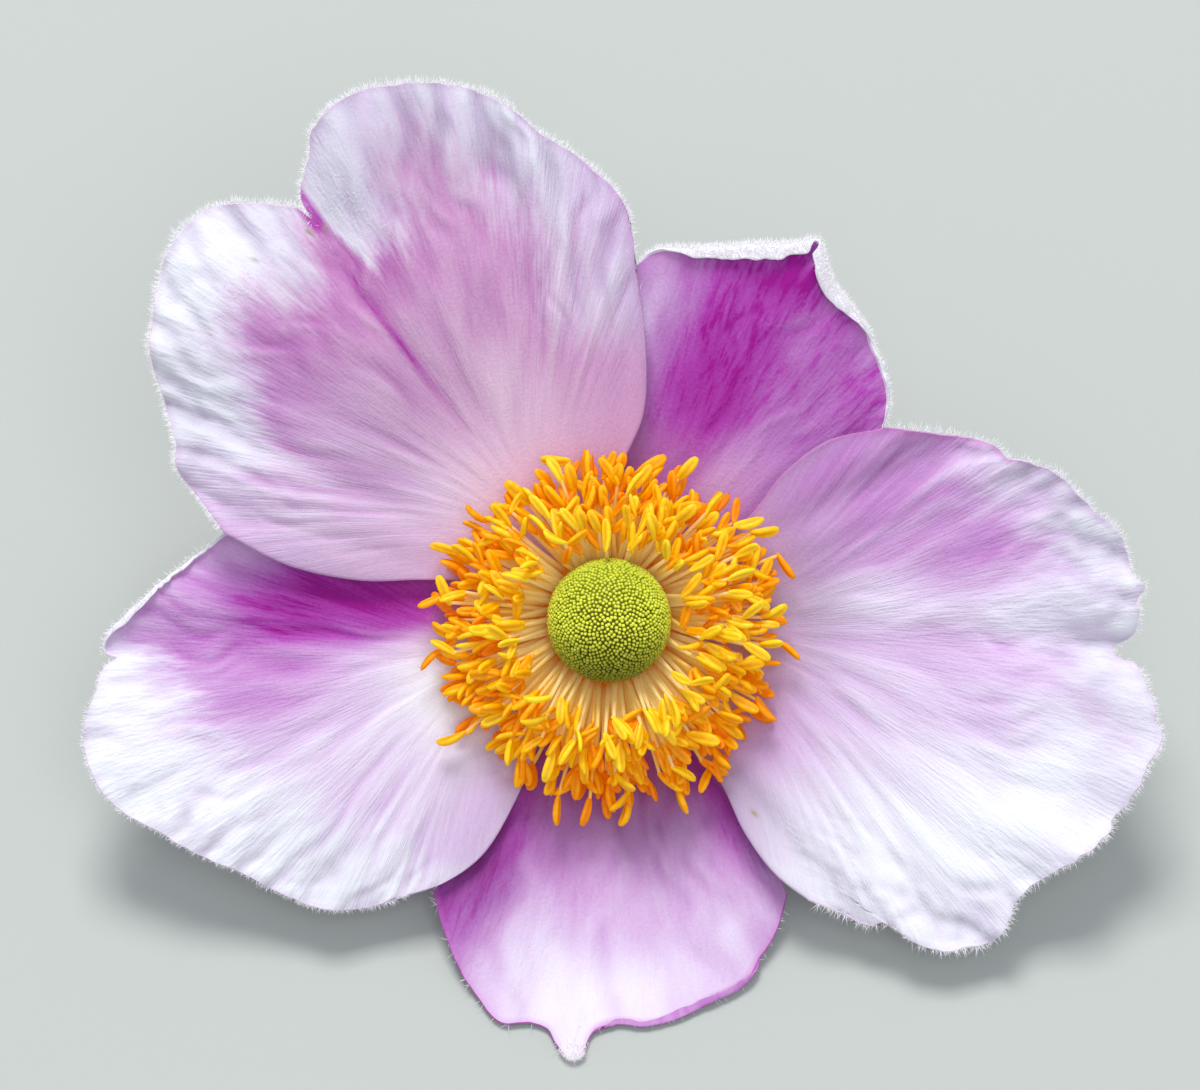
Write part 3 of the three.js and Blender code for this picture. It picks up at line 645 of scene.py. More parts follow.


# %% [markdown]
# ## The colour of the blades
#
# A tint runs from 0, white, through lilac to 1, magenta. Each blade has a base tint and a few blushes: soft
# patches, each at an angle and a reach, with its width across and along the veins in mm and its strength.
# A step deepens all that lies on one side of an angle: it has its angle, its width in degrees, the reaches
# between which it holds, and its strength. The `rim` has a tint of its own, in a `band` whose depth in mm
# changes along the rim, and `softness` blurs the band's inner border. A fine `line` marks the very edge.
# `shades` are patches of painted soft shadow, `specks` are tiny spots of pollen with their width in mm,
# `gleam` makes the crests of the ribs paler, partly as thinner sap and partly as a painted highlight, and
# `warmth` turns the inner tint a little to rose. The crests of the rim's pleats and crumples get a painted
# highlight, and their valleys and those of the ribs a painted shade. A few blushes with a negative strength,
# by the stamens and in folds, lighten spots that lie in shade, so there they paint light. The streaks along
# the veins, and the fringe where the band begins, are left to the material.

# %% Tints, blushes and rim bands
TINTS = {
    "tepal_right": {
        "base": 0.38, "gleam": 0.08, "line": [(-56, 0.2), (15, 0.2), (26, 0.8), (36, 0.9)],
        "rim": [(-56, 0.06), (-30, 0.04), (-8, 0.1), (5, 0.16), (20, 0.24), (28, 0.44), (36, 0.6)],
        "band": [(-56, 1.2), (-30, 2.0), (-12, 2.4), (0, 3.4), (10, 3.2), (20, 1.8), (27, 0.5), (36, 0.9)],
        "blushes": [
            (19, 21, 6, 8, 0.07), (10.5, 23.5, 2.4, 4.5, 0.16), (-7, 23, 2, 6, 0.12),
            (2, 26, 1.6, 6, -0.12), (0.5, 29, 2, 5, -0.2), (-14, 22, 1.8, 5, 0.1),
            (-9, 20, 2.5, 5, -0.1), (4, 17, 1.8, 5, -0.16), (-36, 25, 9, 8, -0.38),
            (13, 28, 4, 3, -0.08), (28, 17, 4, 6, 0.08), (-46, 18, 4, 5, -0.12),
            (-17, 30, 5, 3.5, -0.3), (34, 18.5, 1.4, 6, 0.14), (-38, 12.5, 3, 3, 0.12),
        ],
        "shades": [
            (5, 12.5, 6, 3, 0.3), (13, 31, 4.2, 3.4, 0.25), (-8, 31, 3, 3, 0.1), (-55, 13.5, 2.4, 3, 0.3),
        ],
        "specks": [(-53.2, 15.2, 0.15)],
    },
    "tepal_top": {
        "base": 0.7, "gleam": 0.04, "line": [(34, 0.2), (86, 0.2)],
        "rim": [(34, 0.66), (86, 0.6)],
        "band": [(34, 0.3), (86, 0.3)],
        "blushes": [
            (66, 15.5, 2.2, 5, 0.2), (60, 15.6, 1.2, 4, 0.1), (71, 18, 1.2, 4, 0.1),
            (64, 24.4, 3.4, 1.5, 0.34), (85, 20, 2.5, 5.5, -0.36), (78.5, 16, 1.4, 3.6, 0.14),
            (60, 21.5, 3, 3, 0.08), (50, 20, 3, 4, 0.07), (44, 17, 2.8, 5, -0.1), (40, 21.5, 1.8, 3, 0.12),
            (56, 21.7, 2, 3, -0.06), (73, 11, 4, 3, -0.06), (52, 12.5, 2.5, 2.5, -0.14),
            # painted light: this blush lightens the spot by the stamens, which lies in their shade
            (48, 9.5, 2.5, 2.5, -0.16),
        ],
        "shades": [(80, 12, 3, 3, 0.1)],
        "specks": [],
    },
    "tepal_top_left": {
        "base": 0.43, "gleam": 0.08, "line": [(84, 0.3), (160, 0.2), (168, 0.4)],
        "rim": [
            (80, 0.4), (90, 0.3), (98, 0.2), (106, 0.2), (115, 0.26), (119, 0.14), (125.3, 0.1),
            (125.8, 0.85), (127, 0.85), (127.5, 0.1), (131, 0.14), (140, 0.06), (152, 0.06), (160, 0.2),
            (166, 0.34), (172, 0.36),
        ],
        "band": [
            (84, 2.4), (92, 4.2), (100, 5.2), (107, 4.4), (112, 3.6), (118, 5.4), (122, 4.2), (124, 4.8),
            (125.6, 1), (127.2, 0.6), (131, 4.2), (136, 5.8), (141, 5), (146, 5), (154, 5.2), (160, 3.6),
            (165, 1.2), (170, 0.8),
        ],
        "blushes": [
            (110, 24, 7, 7, 0.03), (155, 18, 4, 4, -0.05), (122, 27.6, 1.8, 2.4, 0.2),
            (138, 26.5, 4.5, 2.4, 0.13), (150, 25, 4, 2.4, 0.08), (130, 26, 2.5, 3, 0.04),
            (127, 21.5, 0.3, 3.6, 0.34), (127, 26.5, 0.3, 2.4, 0.06), (98, 21, 3, 5, 0.05),
            (92, 15, 2.5, 5, 0.02), (141, 12, 4, 4, -0.14), (164, 20, 3, 6, -0.06), (116, 13, 4, 4, -0.1),
            (172, 14, 2, 5, -0.04), (126.5, 31, 0.5, 0.6, 0.5), (110, 18, 4, 5, -0.05),
        ],
        "shades": [
            (153, 30, 5, 3.5, 0.22), (113, 32, 7, 4, 0.28), (92, 27, 4, 4, 0.05), (103, 28, 5, 4, 0.1),
            (134, 29, 3, 3, 0.12), (138, 20, 6, 6, 0.2), (118, 20, 6, 8, 0.1), (147, 26, 4, 3, 0.12),
        ],
        "specks": [(127.7, 30.6, 0.16), (125.9, 30.2, 0.12), (134.7, 31.5, 0.12)],
        "warmth": 1.0,
        "softness": [(84, 0.5), (114, 0.5), (122, 1), (175, 1)],
    },
    "tepal_left": {
        "base": 0.25, "gleam": 0.1, "line": [(165, 0.15), (236, 0.2)],
        "rim": [(165, 0.5), (181, 0.45), (185, 0.06), (215, 0.04), (236, 0.12)],
        "steps": [(185, 2.8, 8, 33, 0.24)],
        "band": [(165, 0.3), (182, 0.5), (186, 2.5), (192, 5), (198, 6.5), (210, 6), (225, 3.4), (234, 1.4)],
        "blushes": [
            (174, 14.5, 2.7, 8, 0.48), (175, 21, 2.4, 5, 0.14), (171, 25, 2.4, 4, -0.14),
            (190, 21.5, 3.4, 5.5, 0.32), (186, 14, 1.4, 4, 0.1), (188, 27, 3, 4, 0.06),
            # painted light: the first blush on the next line lightens the base where the ring's shadow falls
            (208, 11.5, 4, 2.5, -0.15), (194, 12, 4, 5, -0.14), (211, 17, 5, 6, -0.03),
            (214, 21, 3, 4, 0.04), (236, 14, 2, 5, 0.1),
        ],
        "shades": [(222, 23.5, 6, 2.6, 0.12)],
        "specks": [],
    },
    "tepal_bottom": {
        "base": 0.5, "gleam": 0.06, "line": [(236, 0.4), (262, 0.4), (265, 0.1), (268, 0.6), (303, 0.5)],
        "rim": [
            (236, 0.9), (242, 0.85), (247, 0.5), (252, 0.35), (258, 0.2), (265, 0.08), (270, 0.2),
            (285, 0.26), (303, 0.5),
        ],
        "band": [(236, 0.8), (250, 0.8), (258, 1.5), (270, 2), (290, 1.2), (303, 0.8)],
        "blushes": [
            (239.5, 17.5, 3, 6, 0.5), (247, 22, 2.2, 4, 0.1), (307, 13, 2.4, 6, 0.42),
            (300, 20, 2.4, 4.5, 0.1), (268, 25, 8, 5, -0.44), (293, 20.5, 2.5, 3, -0.2),
            (256, 20, 3, 3, -0.08), (268, 10, 6, 4, 0.2), (265.5, 27, 1.2, 1.4, -0.2),
        ],
        "shades": [
            (241, 18, 3.5, 4, 0.42), (270, 12, 7, 3, 0.25), (283, 15, 2.5, 3, 0.22), (302, 18, 2, 5, 0.12),
        ],
        "specks": [],
    },
}


def patches(name, key, facts):
    """The sum of soft patches, each at an angle and a reach, with its width, its length and its strength."""
    total = 0 * facts["reach"]
    for where, out, wide, long, amount in TINTS[name][key]:
        aside = np.radians(facts["angle"] - where) * facts["reach"]
        total += amount * hill(aside / wide) * hill((facts["reach"] - out) / long)
    return total


def paint_blade(name, facts, seed):
    """Adds both tints to the facts, where the rim band begins, the shade, line, warmth and specks."""
    paint = TINTS[name]
    angle, reach, along, vein = facts["angle"], facts["reach"], facts["along"], facts["vein"]
    # the crests of the ribs are paler: partly thinner sap, partly a painted highlight
    inner = paint["base"] + patches(name, "blushes", facts) - paint["gleam"] * facts["ribs"]
    for where, wide, start, end, amount in paint.get("steps", []):
        strayed = where + 2 * soft_noise(reach / 4, 0.5, seed + 13)
        side = smoothstep(strayed - angle, -wide, wide)
        inner += amount * side * smoothstep(reach, start, start + 4) * (1 - smoothstep(reach, end - 4, end))
    # on the rim band the crests of the ribs are paler too, and the crests of the pleats and crumples get a
    # painted highlight
    rim = np.interp(angle, *np.transpose(paint["rim"])) - paint["gleam"] * facts["ribs"]
    rim = rim - 0.14 * np.maximum(facts["crest"], 0)
    depth = np.interp(angle, *np.transpose(paint["band"]))
    inside = facts["margin"] - depth + 0.7 * soft_noise(vein / 1.6, along / 5, seed + 11)
    inside = inside + 8 * (1 - smoothstep(reach, 13, 20))
    if "softness" in paint:
        inside = inside * np.interp(angle, *np.transpose(paint["softness"]))
    facts["tint"], facts["rim_tint"] = np.clip(inner, 0, 1), np.clip(rim, 0, 1)
    facts["inside"] = np.clip(inside, -3, 3)
    # painted shade in the valleys of the pleats, crumples and ribs
    painted_valley_shade = 0.2 * np.maximum(-facts["crest"], 0) + 0.05 * np.maximum(-facts["ribs"], 0)
    facts["shade"] = np.clip(patches(name, "shades", facts) + painted_valley_shade, 0, 0.6)
    facts["line"] = np.interp(angle, *np.transpose(paint["line"]))
    facts["warmth"] = paint.get("warmth", 0) * (1 - 0.6 * smoothstep(angle, 128, 150))
    facts["speck"] = 0 * reach
    for where, out, wide in paint["specks"]:
        apart = np.hypot(np.radians(angle - where) * out, (reach - out) / 1.6)
        facts["speck"] = np.maximum(facts["speck"], hill(apart / wide))


# %% Build the five blades
KEPT_FACTS = ("tint", "rim_tint", "inside", "shade", "speck", "line", "margin", "open", "warmth")
VEIN_MAP_SIZE = 50  # mm for the full width of the vein map
blade_rims = {}
tepals = {}
for number, name in enumerate(TEPALS):
    seed = 100 * (number + 1)
    grid, facts = blade_grid(name, seed)
    paint_blade(name, facts, seed)
    grid, facts = with_hem(name, grid, facts, seed)
    grid = off_the_floor(grid)
    inward = smoothstep(facts["margin"], 0, THICKENING)
    thickness = RIM_THICKNESS + (BLADE_THICKNESS - RIM_THICKNESS) * inward
    points, faces = close_blade(grid, thickness)
    twice = lambda values: np.concatenate([values.ravel(), values.ravel()])
    front = np.repeat([1.0, 0.0], grid[..., 0].size)
    facts["open"] = 0.15 + 0.85 * smoothstep(facts["reach"], 7, 21)
    attributes = {key: twice(facts[key]) for key in KEPT_FACTS}
    attributes["front"] = front
    blade = mesh_object(name + "_blade", to_world(points), faces, attributes)
    vein_map = blade.data.uv_layers.new(name="veins")
    corner_points = np.empty(len(blade.data.loops), dtype=np.int32)
    blade.data.loops.foreach_get("vertex_index", corner_points)
    places = np.stack([twice(facts["vein"]), twice(facts["along"])], axis=-1)[corner_points] / VEIN_MAP_SIZE
    vein_map.data.foreach_set("uv", places.astype(np.float32).ravel())
    tepals[name] = blade
    blade_rims[name] = (grid, facts)

# %% [markdown]
# ## Tepal skin
#
# A tepal is a soft sheet of cells filled with purple sap, thin and matte, with a satin gleam along its
# ribs. A share of light comes through it from behind, which gives its softness. Its tint goes through a
# ramp from white-lilac to magenta. Two noises stretched along the veins, fibres and wider bands, break it
# into streaks and raise fine ribs, and a finer grain roughens both. Warmth, the line at the very edge,
# soft shadow and the specks are blended in over the tint. The back is paler, with silky down, which sheen
# stands for.

# %% Material of the tepals
TINT_RAMP = [
    (0.0, "#F6F7FD"), (0.2, "#EADDF2"), (0.35, "#DFC2E6"), (0.5, "#D19ED6"), (0.65, "#C27BC6"),
    (0.8, "#B847B6"), (1.0, "#A70A97"),
]
BACK_RAMP = [(0.0, "#FAF9FC"), (0.5, "#E6D2E8"), (1.0, "#C582C9")]
ROSE_FILTER = (1.1, 0.97, 0.93, 1)
EDGE_LINE_WIDTH = 0.36  # mm
TINT_SHARES = {"fibres": 0.12, "bands": 0.24, "grain": 0.16}
RELIEF_SHARES = {"fibres": 0.8, "bands": 0.6, "grain": 0.35}
TEPAL_LIGHT = 0.14  # share of light that comes through


def tepal_skin():
    """Skin of a fresh tepal."""
    material, tree, shader = new_material("fresh tepal skin")
    attribute, math_step = partial(carried, tree), partial(math_node, tree)
    veins = add_node(tree, "ShaderNodeUVMap", uv_map="veins").outputs["UV"]

    def streaks(across, along, detail, place):
        """Noise stretched along the veins, around 0. Its cells are so many mm across and along."""
        size = (VEIN_MAP_SIZE / across, VEIN_MAP_SIZE / along, 1)
        moved = {"Vector": veins, "Scale": size, "Location": (place, place, place)}
        vector = add_node(tree, "ShaderNodeMapping", moved).outputs["Vector"]
        links = {"Vector": vector, "Scale": 1.0, "Detail": detail, "Roughness": 0.6, "Distortion": 0.15}
        noise = add_node(tree, "ShaderNodeTexNoise", links, noise_dimensions="2D").outputs["Fac"]
        return math_step("SUBTRACT", noise, 0.5)

    open_share = attribute("open")
    fibres = math_step("MULTIPLY", streaks(0.3, 1.6, 2.0, 1.7), open_share)
    bands = math_step("MULTIPLY", streaks(1.1, 5.0, 3.0, 5.3), open_share)
    both = math_step("ADD", fibres, bands)
    grain = math_step("SUBTRACT", fine_grain(tree, 5200.0), 0.5)

    def mixture(shares):
        """Fibres, bands and grain added up, each with its share."""
        total = math_step("MULTIPLY", fibres, shares["fibres"])
        total = math_step("MULTIPLY_ADD", bands, shares["bands"], total)
        return math_step("MULTIPLY_ADD", grain, shares["grain"], total)

    fringe = math_step("MULTIPLY_ADD", both, 2.0, attribute("inside"))
    inner = mapped(tree, fringe, -1.8, 1.9, interpolation_type="SMOOTHSTEP")
    tint = {0: inner, 2: attribute("rim_tint"), 3: attribute("tint")}
    tint = add_node(tree, "ShaderNodeMix", tint, data_type="FLOAT").outputs[0]
    strength = math_step("MULTIPLY_ADD", tint, 0.9, 0.16)
    tinted = math_step("MULTIPLY_ADD", mixture(TINT_SHARES), strength, tint)
    strokes = mapped(tree, both, 0.0, 0.3, interpolation_type="SMOOTHSTEP")
    tinted = math_step("MULTIPLY_ADD", strokes, mapped(tree, tint, 0.62, 0.95, 0.0, 0.2), tinted)
    warm_share = math_step("MULTIPLY", attribute("warmth"), inner)
    line = mapped(tree, attribute("margin"), 0.0, EDGE_LINE_WIDTH, 1.0, 0.0)
    line = math_step("MULTIPLY", line, attribute("line"))
    face = blended(tree, warm_share, ramped(tree, tinted, TINT_RAMP), ROSE_FILTER, blend_type="MULTIPLY")
    face = blended(tree, line, face, linear("#CC82C6"))
    face = blended(tree, attribute("shade"), face, linear("#4A4660"))
    face = blended(tree, attribute("speck"), face, linear("#A3945A"))
    colour = blended(tree, attribute("front"), ramped(tree, tinted, BACK_RAMP), face)
    skin = {
        "Base Color": colour, "Normal": relief_normal(tree, mixture(RELIEF_SHARES), 0.5),
        "Roughness": 0.58, "IOR": 1.42, "Specular IOR Level": 0.3, "Sheen Weight": 0.12,
        "Sheen Roughness": 0.4,
    }
    connect(tree, shader, skin)
    let_light_through(tree, shader, TEPAL_LIGHT, colour)
    return material


tepal_material = tepal_skin()
for name, blade in tepals.items():
    slot = "tepal_dark" if name == "tepal_top" else "tepal"
    finish_piece(blade, tepal_material, slot, name)

# %% [markdown]
# ## The carpel head
#
# Tiny carpels stand packed on a ball, in the double spirals of a sunflower. Geometry Nodes set them out by
# the same rule that the plant uses: each next one turns by the golden angle and stands a little lower. A
# carpel ends in a few lobes, and each of the 2500 short blunt pegs is one of those, pale at its tip and
# dark at its foot.

# %% One carpel, and the tree that repeats it
GOLDEN_ANGLE = math.radians(137.508)
CARPELS = 2500
CARPEL_FOOT = 0.21  # mm that a peg's foot lies under the ball's skin
CARPEL_JITTER = 0.013  # of the ball's radius
LOWEST_CARPEL = -0.7  # height on a ball of radius 1
CARPEL_SIZES = (0.85, 1.15)
BALL_FOOT = 2.4  # mm above the attachment, where the ball is cut off below


def round_peg(name, rings, sides):
    """A closed body of revolution through (radius, height) rings, with its height kept as `tip`, 0 to 1."""
    turn = np.linspace(0, 2 * np.pi, sides, endpoint=False)
    points = [[0, 0, rings[0][1]]]
    for radius, height in rings[1:-1]:
        points += [[radius * math.cos(a), radius * math.sin(a), height] for a in turn]
    points.append([0, 0, rings[-1][1]])
    faces = [[0, 1 + (k + 1) % sides, 1 + k] for k in range(sides)]
    last = len(points) - 1
    for ring in range(len(rings) - 3):
        at = lambda k, up: 1 + (ring + up) * sides + k % sides
        faces += [[at(k, 0), at(k + 1, 0), at(k + 1, 1), at(k, 1)] for k in range(sides)]
    faces += [[last, last - sides + k, last - sides + (k + 1) % sides] for k in range(sides)]
    points = np.array(points)
    span = np.ptp(points[:, 2])
    return mesh_object(name, points, faces, {"tip": (points[:, 2] - points[:, 2].min()) / span})


def stored(tree, geometry, key, value, kind="FLOAT"):
    """A geometry that carries a value at each point under a name."""
    links = {"Geometry": geometry, "Name": key, "Value": value}
    return add_node(tree, "GeometryNodeStoreNamedAttribute", links, data_type=kind).outputs[0]


def aligned(tree, way):
    """The rotation that turns the z axis to a direction."""
    return add_node(tree, "FunctionNodeAlignRotationToVector", {"Vector": way}, axis="Z").outputs[0]


def spun(tree, rotation, angle):
    """A rotation after a turn about the z axis."""
    rolled = {"Axis": (0, 0, 1), "Angle": angle}
    rolled = add_node(tree, "FunctionNodeAxisAngleToRotation", rolled).outputs[0]
    both = {"Rotation": rotation, "Rotate By": rolled}
    return add_node(tree, "FunctionNodeRotateRotation", both, rotation_space="LOCAL").outputs[0]


def copies_on(tree, points, pattern, rotation, size):
    """Solid copies of a pattern object on points."""
    shape = add_node(tree, "GeometryNodeObjectInfo", {"Object": pattern}).outputs["Geometry"]
    links = {"Points": points, "Instance": shape, "Rotation": rotation, "Scale": size}
    copies = add_node(tree, "GeometryNodeInstanceOnPoints", links).outputs[0]
    return add_node(tree, "GeometryNodeRealizeInstances", {"Geometry": copies}).outputs[0]


def end_tree(tree, geometry):
    """Leads a geometry through Set Material to the end of its tree."""
    coated = add_node(tree, "GeometryNodeSetMaterial", {"Geometry": geometry}).outputs[0]
    add_node(tree, "NodeGroupOutput", {0: coated})
    return tree


def carpel_tree():
    """Sets pegs on a ball in sunflower spirals."""
    inputs = {
        "Carpel": "NodeSocketObject", "Count": "NodeSocketInt", "Ball radius": "NodeSocketFloat",
        "Lowest": "NodeSocketFloat", "Turn": "NodeSocketFloat", "Jitter": "NodeSocketFloat",
        "Seed": "NodeSocketInt",
    }
    tree = new_tree("Carpels on a ball", inputs)
    given = add_node(tree, "NodeGroupInput").outputs
    math_step = partial(math_node, tree)
    index = add_node(tree, "GeometryNodeInputIndex").outputs[0]
    share = math_step("DIVIDE", math_step("ADD", index, 0.5), given["Count"])
    drop = math_step("MULTIPLY", share, math_step("SUBTRACT", 1.0, given["Lowest"]))
    up = math_step("SUBTRACT", 1.0, drop)
    ring = math_step("SQRT", math_step("SUBTRACT", 1.0, math_step("MULTIPLY", up, up)))
    angle = math_step("MULTIPLY", index, given["Turn"])
    right = math_step("MULTIPLY", ring, math_step("COSINE", angle))
    ahead = math_step("MULTIPLY", ring, math_step("SINE", angle))
    place = add_node(tree, "ShaderNodeCombineXYZ", {0: right, 1: ahead, 2: up}).outputs[0]
    shift = {0: (-1, -1, -1), 1: (1, 1, 1), "Seed": given["Seed"]}
    shift = add_node(tree, "FunctionNodeRandomValue", shift, data_type="FLOAT_VECTOR").outputs[0]
    place = vector_sum(tree, place, scaled(tree, shift, given["Jitter"]))
    place = add_node(tree, "ShaderNodeVectorMath", {0: place}, operation="NORMALIZE").outputs[0]
    seat = {"Count": given["Count"], "Position": scaled(tree, place, given["Ball radius"])}
    points = add_node(tree, "GeometryNodePoints", seat).outputs[0]
    points = stored(tree, points, "up", up)
    tone = add_node(tree, "FunctionNodeRandomValue", {"Seed": given["Seed"]}, data_type="FLOAT").outputs[1]
    points = stored(tree, points, "tone", tone)
    position = add_node(tree, "GeometryNodeInputPosition").outputs[0]
    size = {2: CARPEL_SIZES[0], 3: CARPEL_SIZES[1], "Seed": 3}
    size = add_node(tree, "FunctionNodeRandomValue", size, data_type="FLOAT").outputs[1]
    solid = copies_on(tree, points, given["Carpel"], aligned(tree, position), size)
    both = add_node(tree, "GeometryNodeJoinGeometry", {0: solid})
    tree.links.new(given["Geometry"], both.inputs[0])
    return end_tree(tree, both.outputs[0])


# %% Grow the carpels
PEG_RINGS = [(0, -0.2), (0.12, -0.2), (0.13, 0.03), (0.1, 0.16), (0, 0.22)]
CORE_SCALE = 0.955  # of the ball under the pegs
peg = round_peg("carpel_pattern", PEG_RINGS, 6)
core_radius = CORE_SCALE * BALL_RADIUS
core_floor = BALL_FOOT - BALL_MIDDLE
core_rings = [(core_radius * math.sin(t), -core_radius * math.cos(t)) for t in np.linspace(0, np.pi, 26)]
core_rings = [(radius, max(height, core_floor)) for radius, height in core_rings]
carpels = round_peg("carpels", core_rings, 48)
carpels.data.attributes.remove(carpels.data.attributes["tip"])
carpel_values = {
    "Carpel": peg, "Count": CARPELS, "Ball radius": BALL_RADIUS - CARPEL_FOOT, "Lowest": LOWEST_CARPEL,
    "Turn": GOLDEN_ANGLE, "Jitter": CARPEL_JITTER, "Seed": 5,
}
grow(carpels, carpel_tree(), carpel_values)
bpy.data.objects.remove(peg)
places = np.array([vertex.co[:] for vertex in carpels.data.vertices])
south = (-places[:, 1] / BALL_RADIUS).astype(np.float32)
carpels.data.attributes.new("south", "FLOAT", "POINT").data.foreach_set("value", south)
carpels.data.transform(Matrix.Translation((0, 0, BALL_MIDDLE)))
carpels.data.transform(face_matrix)

# %% [markdown]
# ## Carpel skin
#
# Living green tissue, waxy and finely lobed. The tips are lime yellow and the gaps between them a deep olive,
# because little light comes back from there. The lowest rows turn brownish. `south` says how far a place lies
# down the face: down the face the gaps get a deeper painted shade, and towards the top the colour gets a
# paler painted light.

# %% Material of the carpels


def carpel_skin():
    """Waxy green tissue."""
    material, tree, shader = new_material("waxy green carpel tissue")
    attribute = partial(carried, tree)
    tips = [(0.0, "#303A00"), (0.4, "#5E6C08"), (0.72, "#B0BE1C"), (1.0, "#F4F65C")]
    tone = mapped(tree, attribute("tone"), 0.0, 1.0, 0.86, 1.12)
    colour = scaled(tree, ramped(tree, attribute("tip"), tips), tone)
    low = mapped(tree, attribute("up"), -0.2, 0.25, 0.5, 0.0)
    colour = blended(tree, low, colour, linear("#B58A2A"))
    # painted shade: darker down the face, most in the gaps between the tips
    painted_shade_below = mapped(tree, attribute("south"), 0.1, 0.9, 0.0, 0.95)
    kept = mapped(tree, attribute("tip"), 0.4, 1.0, 1.0, 0.62)
    colour = blended(tree, math_node(tree, "MULTIPLY", painted_shade_below, kept), colour, linear("#2E2C02"))
    # painted light: paler yellow-green towards the top of the face
    painted_light_above = mapped(tree, attribute("south"), -0.95, -0.1, 0.5, 0.0)
    colour = blended(tree, painted_light_above, colour, linear("#AEBA30"))
    skin = {"Base Color": colour, "Roughness": 0.5, "IOR": 1.42, "Specular IOR Level": 0.2}
    connect(tree, shader, skin)
    return material


finish_piece(carpels, carpel_skin(), "carpels", "carpel_head")

# %% [markdown]
# ## Where the stamens stand
#
# Stamens come in many whorls. The inner ones stand up round the head and the outer ones spread over the
# tepals, so from above their anthers fill a broad ring. Each gets a foot on the receptacle, a knee and an end
# for its filament, and a direction for its anther: `nod_side` is how far it turns from the ray and `nod_up`
# how steeply it points up, in degrees. A seeded draw scatters them, and the few that stand out of the crowd
# are placed one by one.

# %% Set out the stamens
STAMENS = 620
RING_SAG = 0.55  # mm that the ring hangs below the flower's axis
RING_START = 5.8  # mm, reach of the innermost anthers
RING_WIDTH = 4.9  # mm from those to the outermost
RING_TOP = 7.0  # mm above the attachment, height of the innermost anthers
RING_FALL = 3.0  # mm that the outermost are lower
FULLEST_SIDE = 306  # degrees, where the ring is widest
ATTACHED_AT = 0.8  # mm from a filament's end to the middle of an anther of size 1
SINGLE_STAMENS = [
    (107.5, 11.0, 175, 0.75), (97.7, 10.3, 92, 0.6), (90, 10.2, 66, 0.45), (64, 11.1, 47, 0.8),
    (19.6, 11.7, -55, 0.3), (189.4, 11.3, 226, 0.3), (215, 12.0, 202, 0.6), (254, 11.8, 266, 0.4),
    (263, 11.5, 255, 0.15), (275.4, 11.5, 254, 0.55), (293, 11.6, 290, 0.5), (-6.5, 11.3, -38, 0.35),
    (-27.6, 11.0, -52, 0.25), (10.8, 4.9, 72, 0.35), (283.7, 5.6, 215, 0.6), (-51.8, 6.2, 100, 0.95),
    (171, 11.2, 205, 0.5), (154, 11.4, 165, 0.75), (32, 11.4, 5, 0.8),
]  # angle and reach of an anther that stands apart, the angle it points to and its tone, 0 orange to 1 yellow

rng = np.random.default_rng(20)
share = (np.arange(STAMENS) + 0.5) / STAMENS
stamen_angle = np.degrees(GOLDEN_ANGLE * np.arange(STAMENS)) + rng.normal(0, 4, STAMENS)
layer = rng.normal(0, 1, STAMENS)
wider = 0.9 * hill(((stamen_angle % 360) - FULLEST_SIDE) / 15) - 0.3  # mm more than RING_WIDTH
stamen_reach = RING_START + RING_WIDTH * share**0.85 + wider * share + rng.normal(0, 0.4, STAMENS)
stamen_height = RING_TOP - RING_FALL * share + 0.6 * layer
nod_side = 28 * soft_noise(stamen_angle / 12, stamen_reach / 1.6, 21) + rng.normal(0, 24, STAMENS)
nod_up = 24 - 22 * share + rng.normal(0, 17, STAMENS)
anther_size = 0.9 + 0.12 * share + rng.normal(0, 0.08, STAMENS)
# the tone is partly random and partly painted shade: anthers that stand lower and further out are more
# orange, those higher up more yellow
anther_tone_and_shade = np.clip(0.6 - 0.16 * share + 0.24 * layer + rng.normal(0, 0.12, STAMENS), 0, 1)

singles = np.array(SINGLE_STAMENS, dtype=float)
single_height = np.where(singles[:, 1] > 8, 4.6, 6.6)
stamen_angle = np.concatenate([stamen_angle, singles[:, 0]])
stamen_reach = np.concatenate([stamen_reach, singles[:, 1]])
stamen_height = np.concatenate([stamen_height, single_height])
nod_side = np.concatenate([nod_side, singles[:, 2] - singles[:, 0]])
nod_up = np.concatenate([nod_up, np.full(len(singles), 6.0)])
anther_size = np.concatenate([anther_size, np.full(len(singles), 1.0)])
anther_tone_and_shade = np.concatenate([anther_tone_and_shade, singles[:, 3]])

nod = ray(stamen_angle + nod_side, np.cos(np.radians(nod_up)), np.sin(np.radians(nod_up)))
anther_middle = ray(stamen_angle, stamen_reach, stamen_height) - np.array([0, RING_SAG, 0])
filament_end = anther_middle - nod * anther_size[:, None] * ATTACHED_AT
low_share = np.clip((stamen_reach - 5.5) / 6, 0, 1)
foot = ray(stamen_angle, 3.1 + 0.75 * low_share, 2.5 - 1.1 * low_share)
knee = foot + 0.5 * (filament_end - foot)
knee[:, 2] += 0.5 + 0.7 * low_share
spin = rng.uniform(-1.5, 1.5, len(foot))
stamen_facts = {
    "knee": knee, "end": filament_end, "nod": nod, "size": anther_size, "tone": anther_tone_and_shade, "spin": spin,
}
print(len(foot), "stamens")

# %% [markdown]
# ## One anther
#
# An anther is two long pollen sacs side by side, with a groove between them. A ball stretched to two
# millimetres, drawn in along its middle and bent a little, has that form with less than a hundred faces.

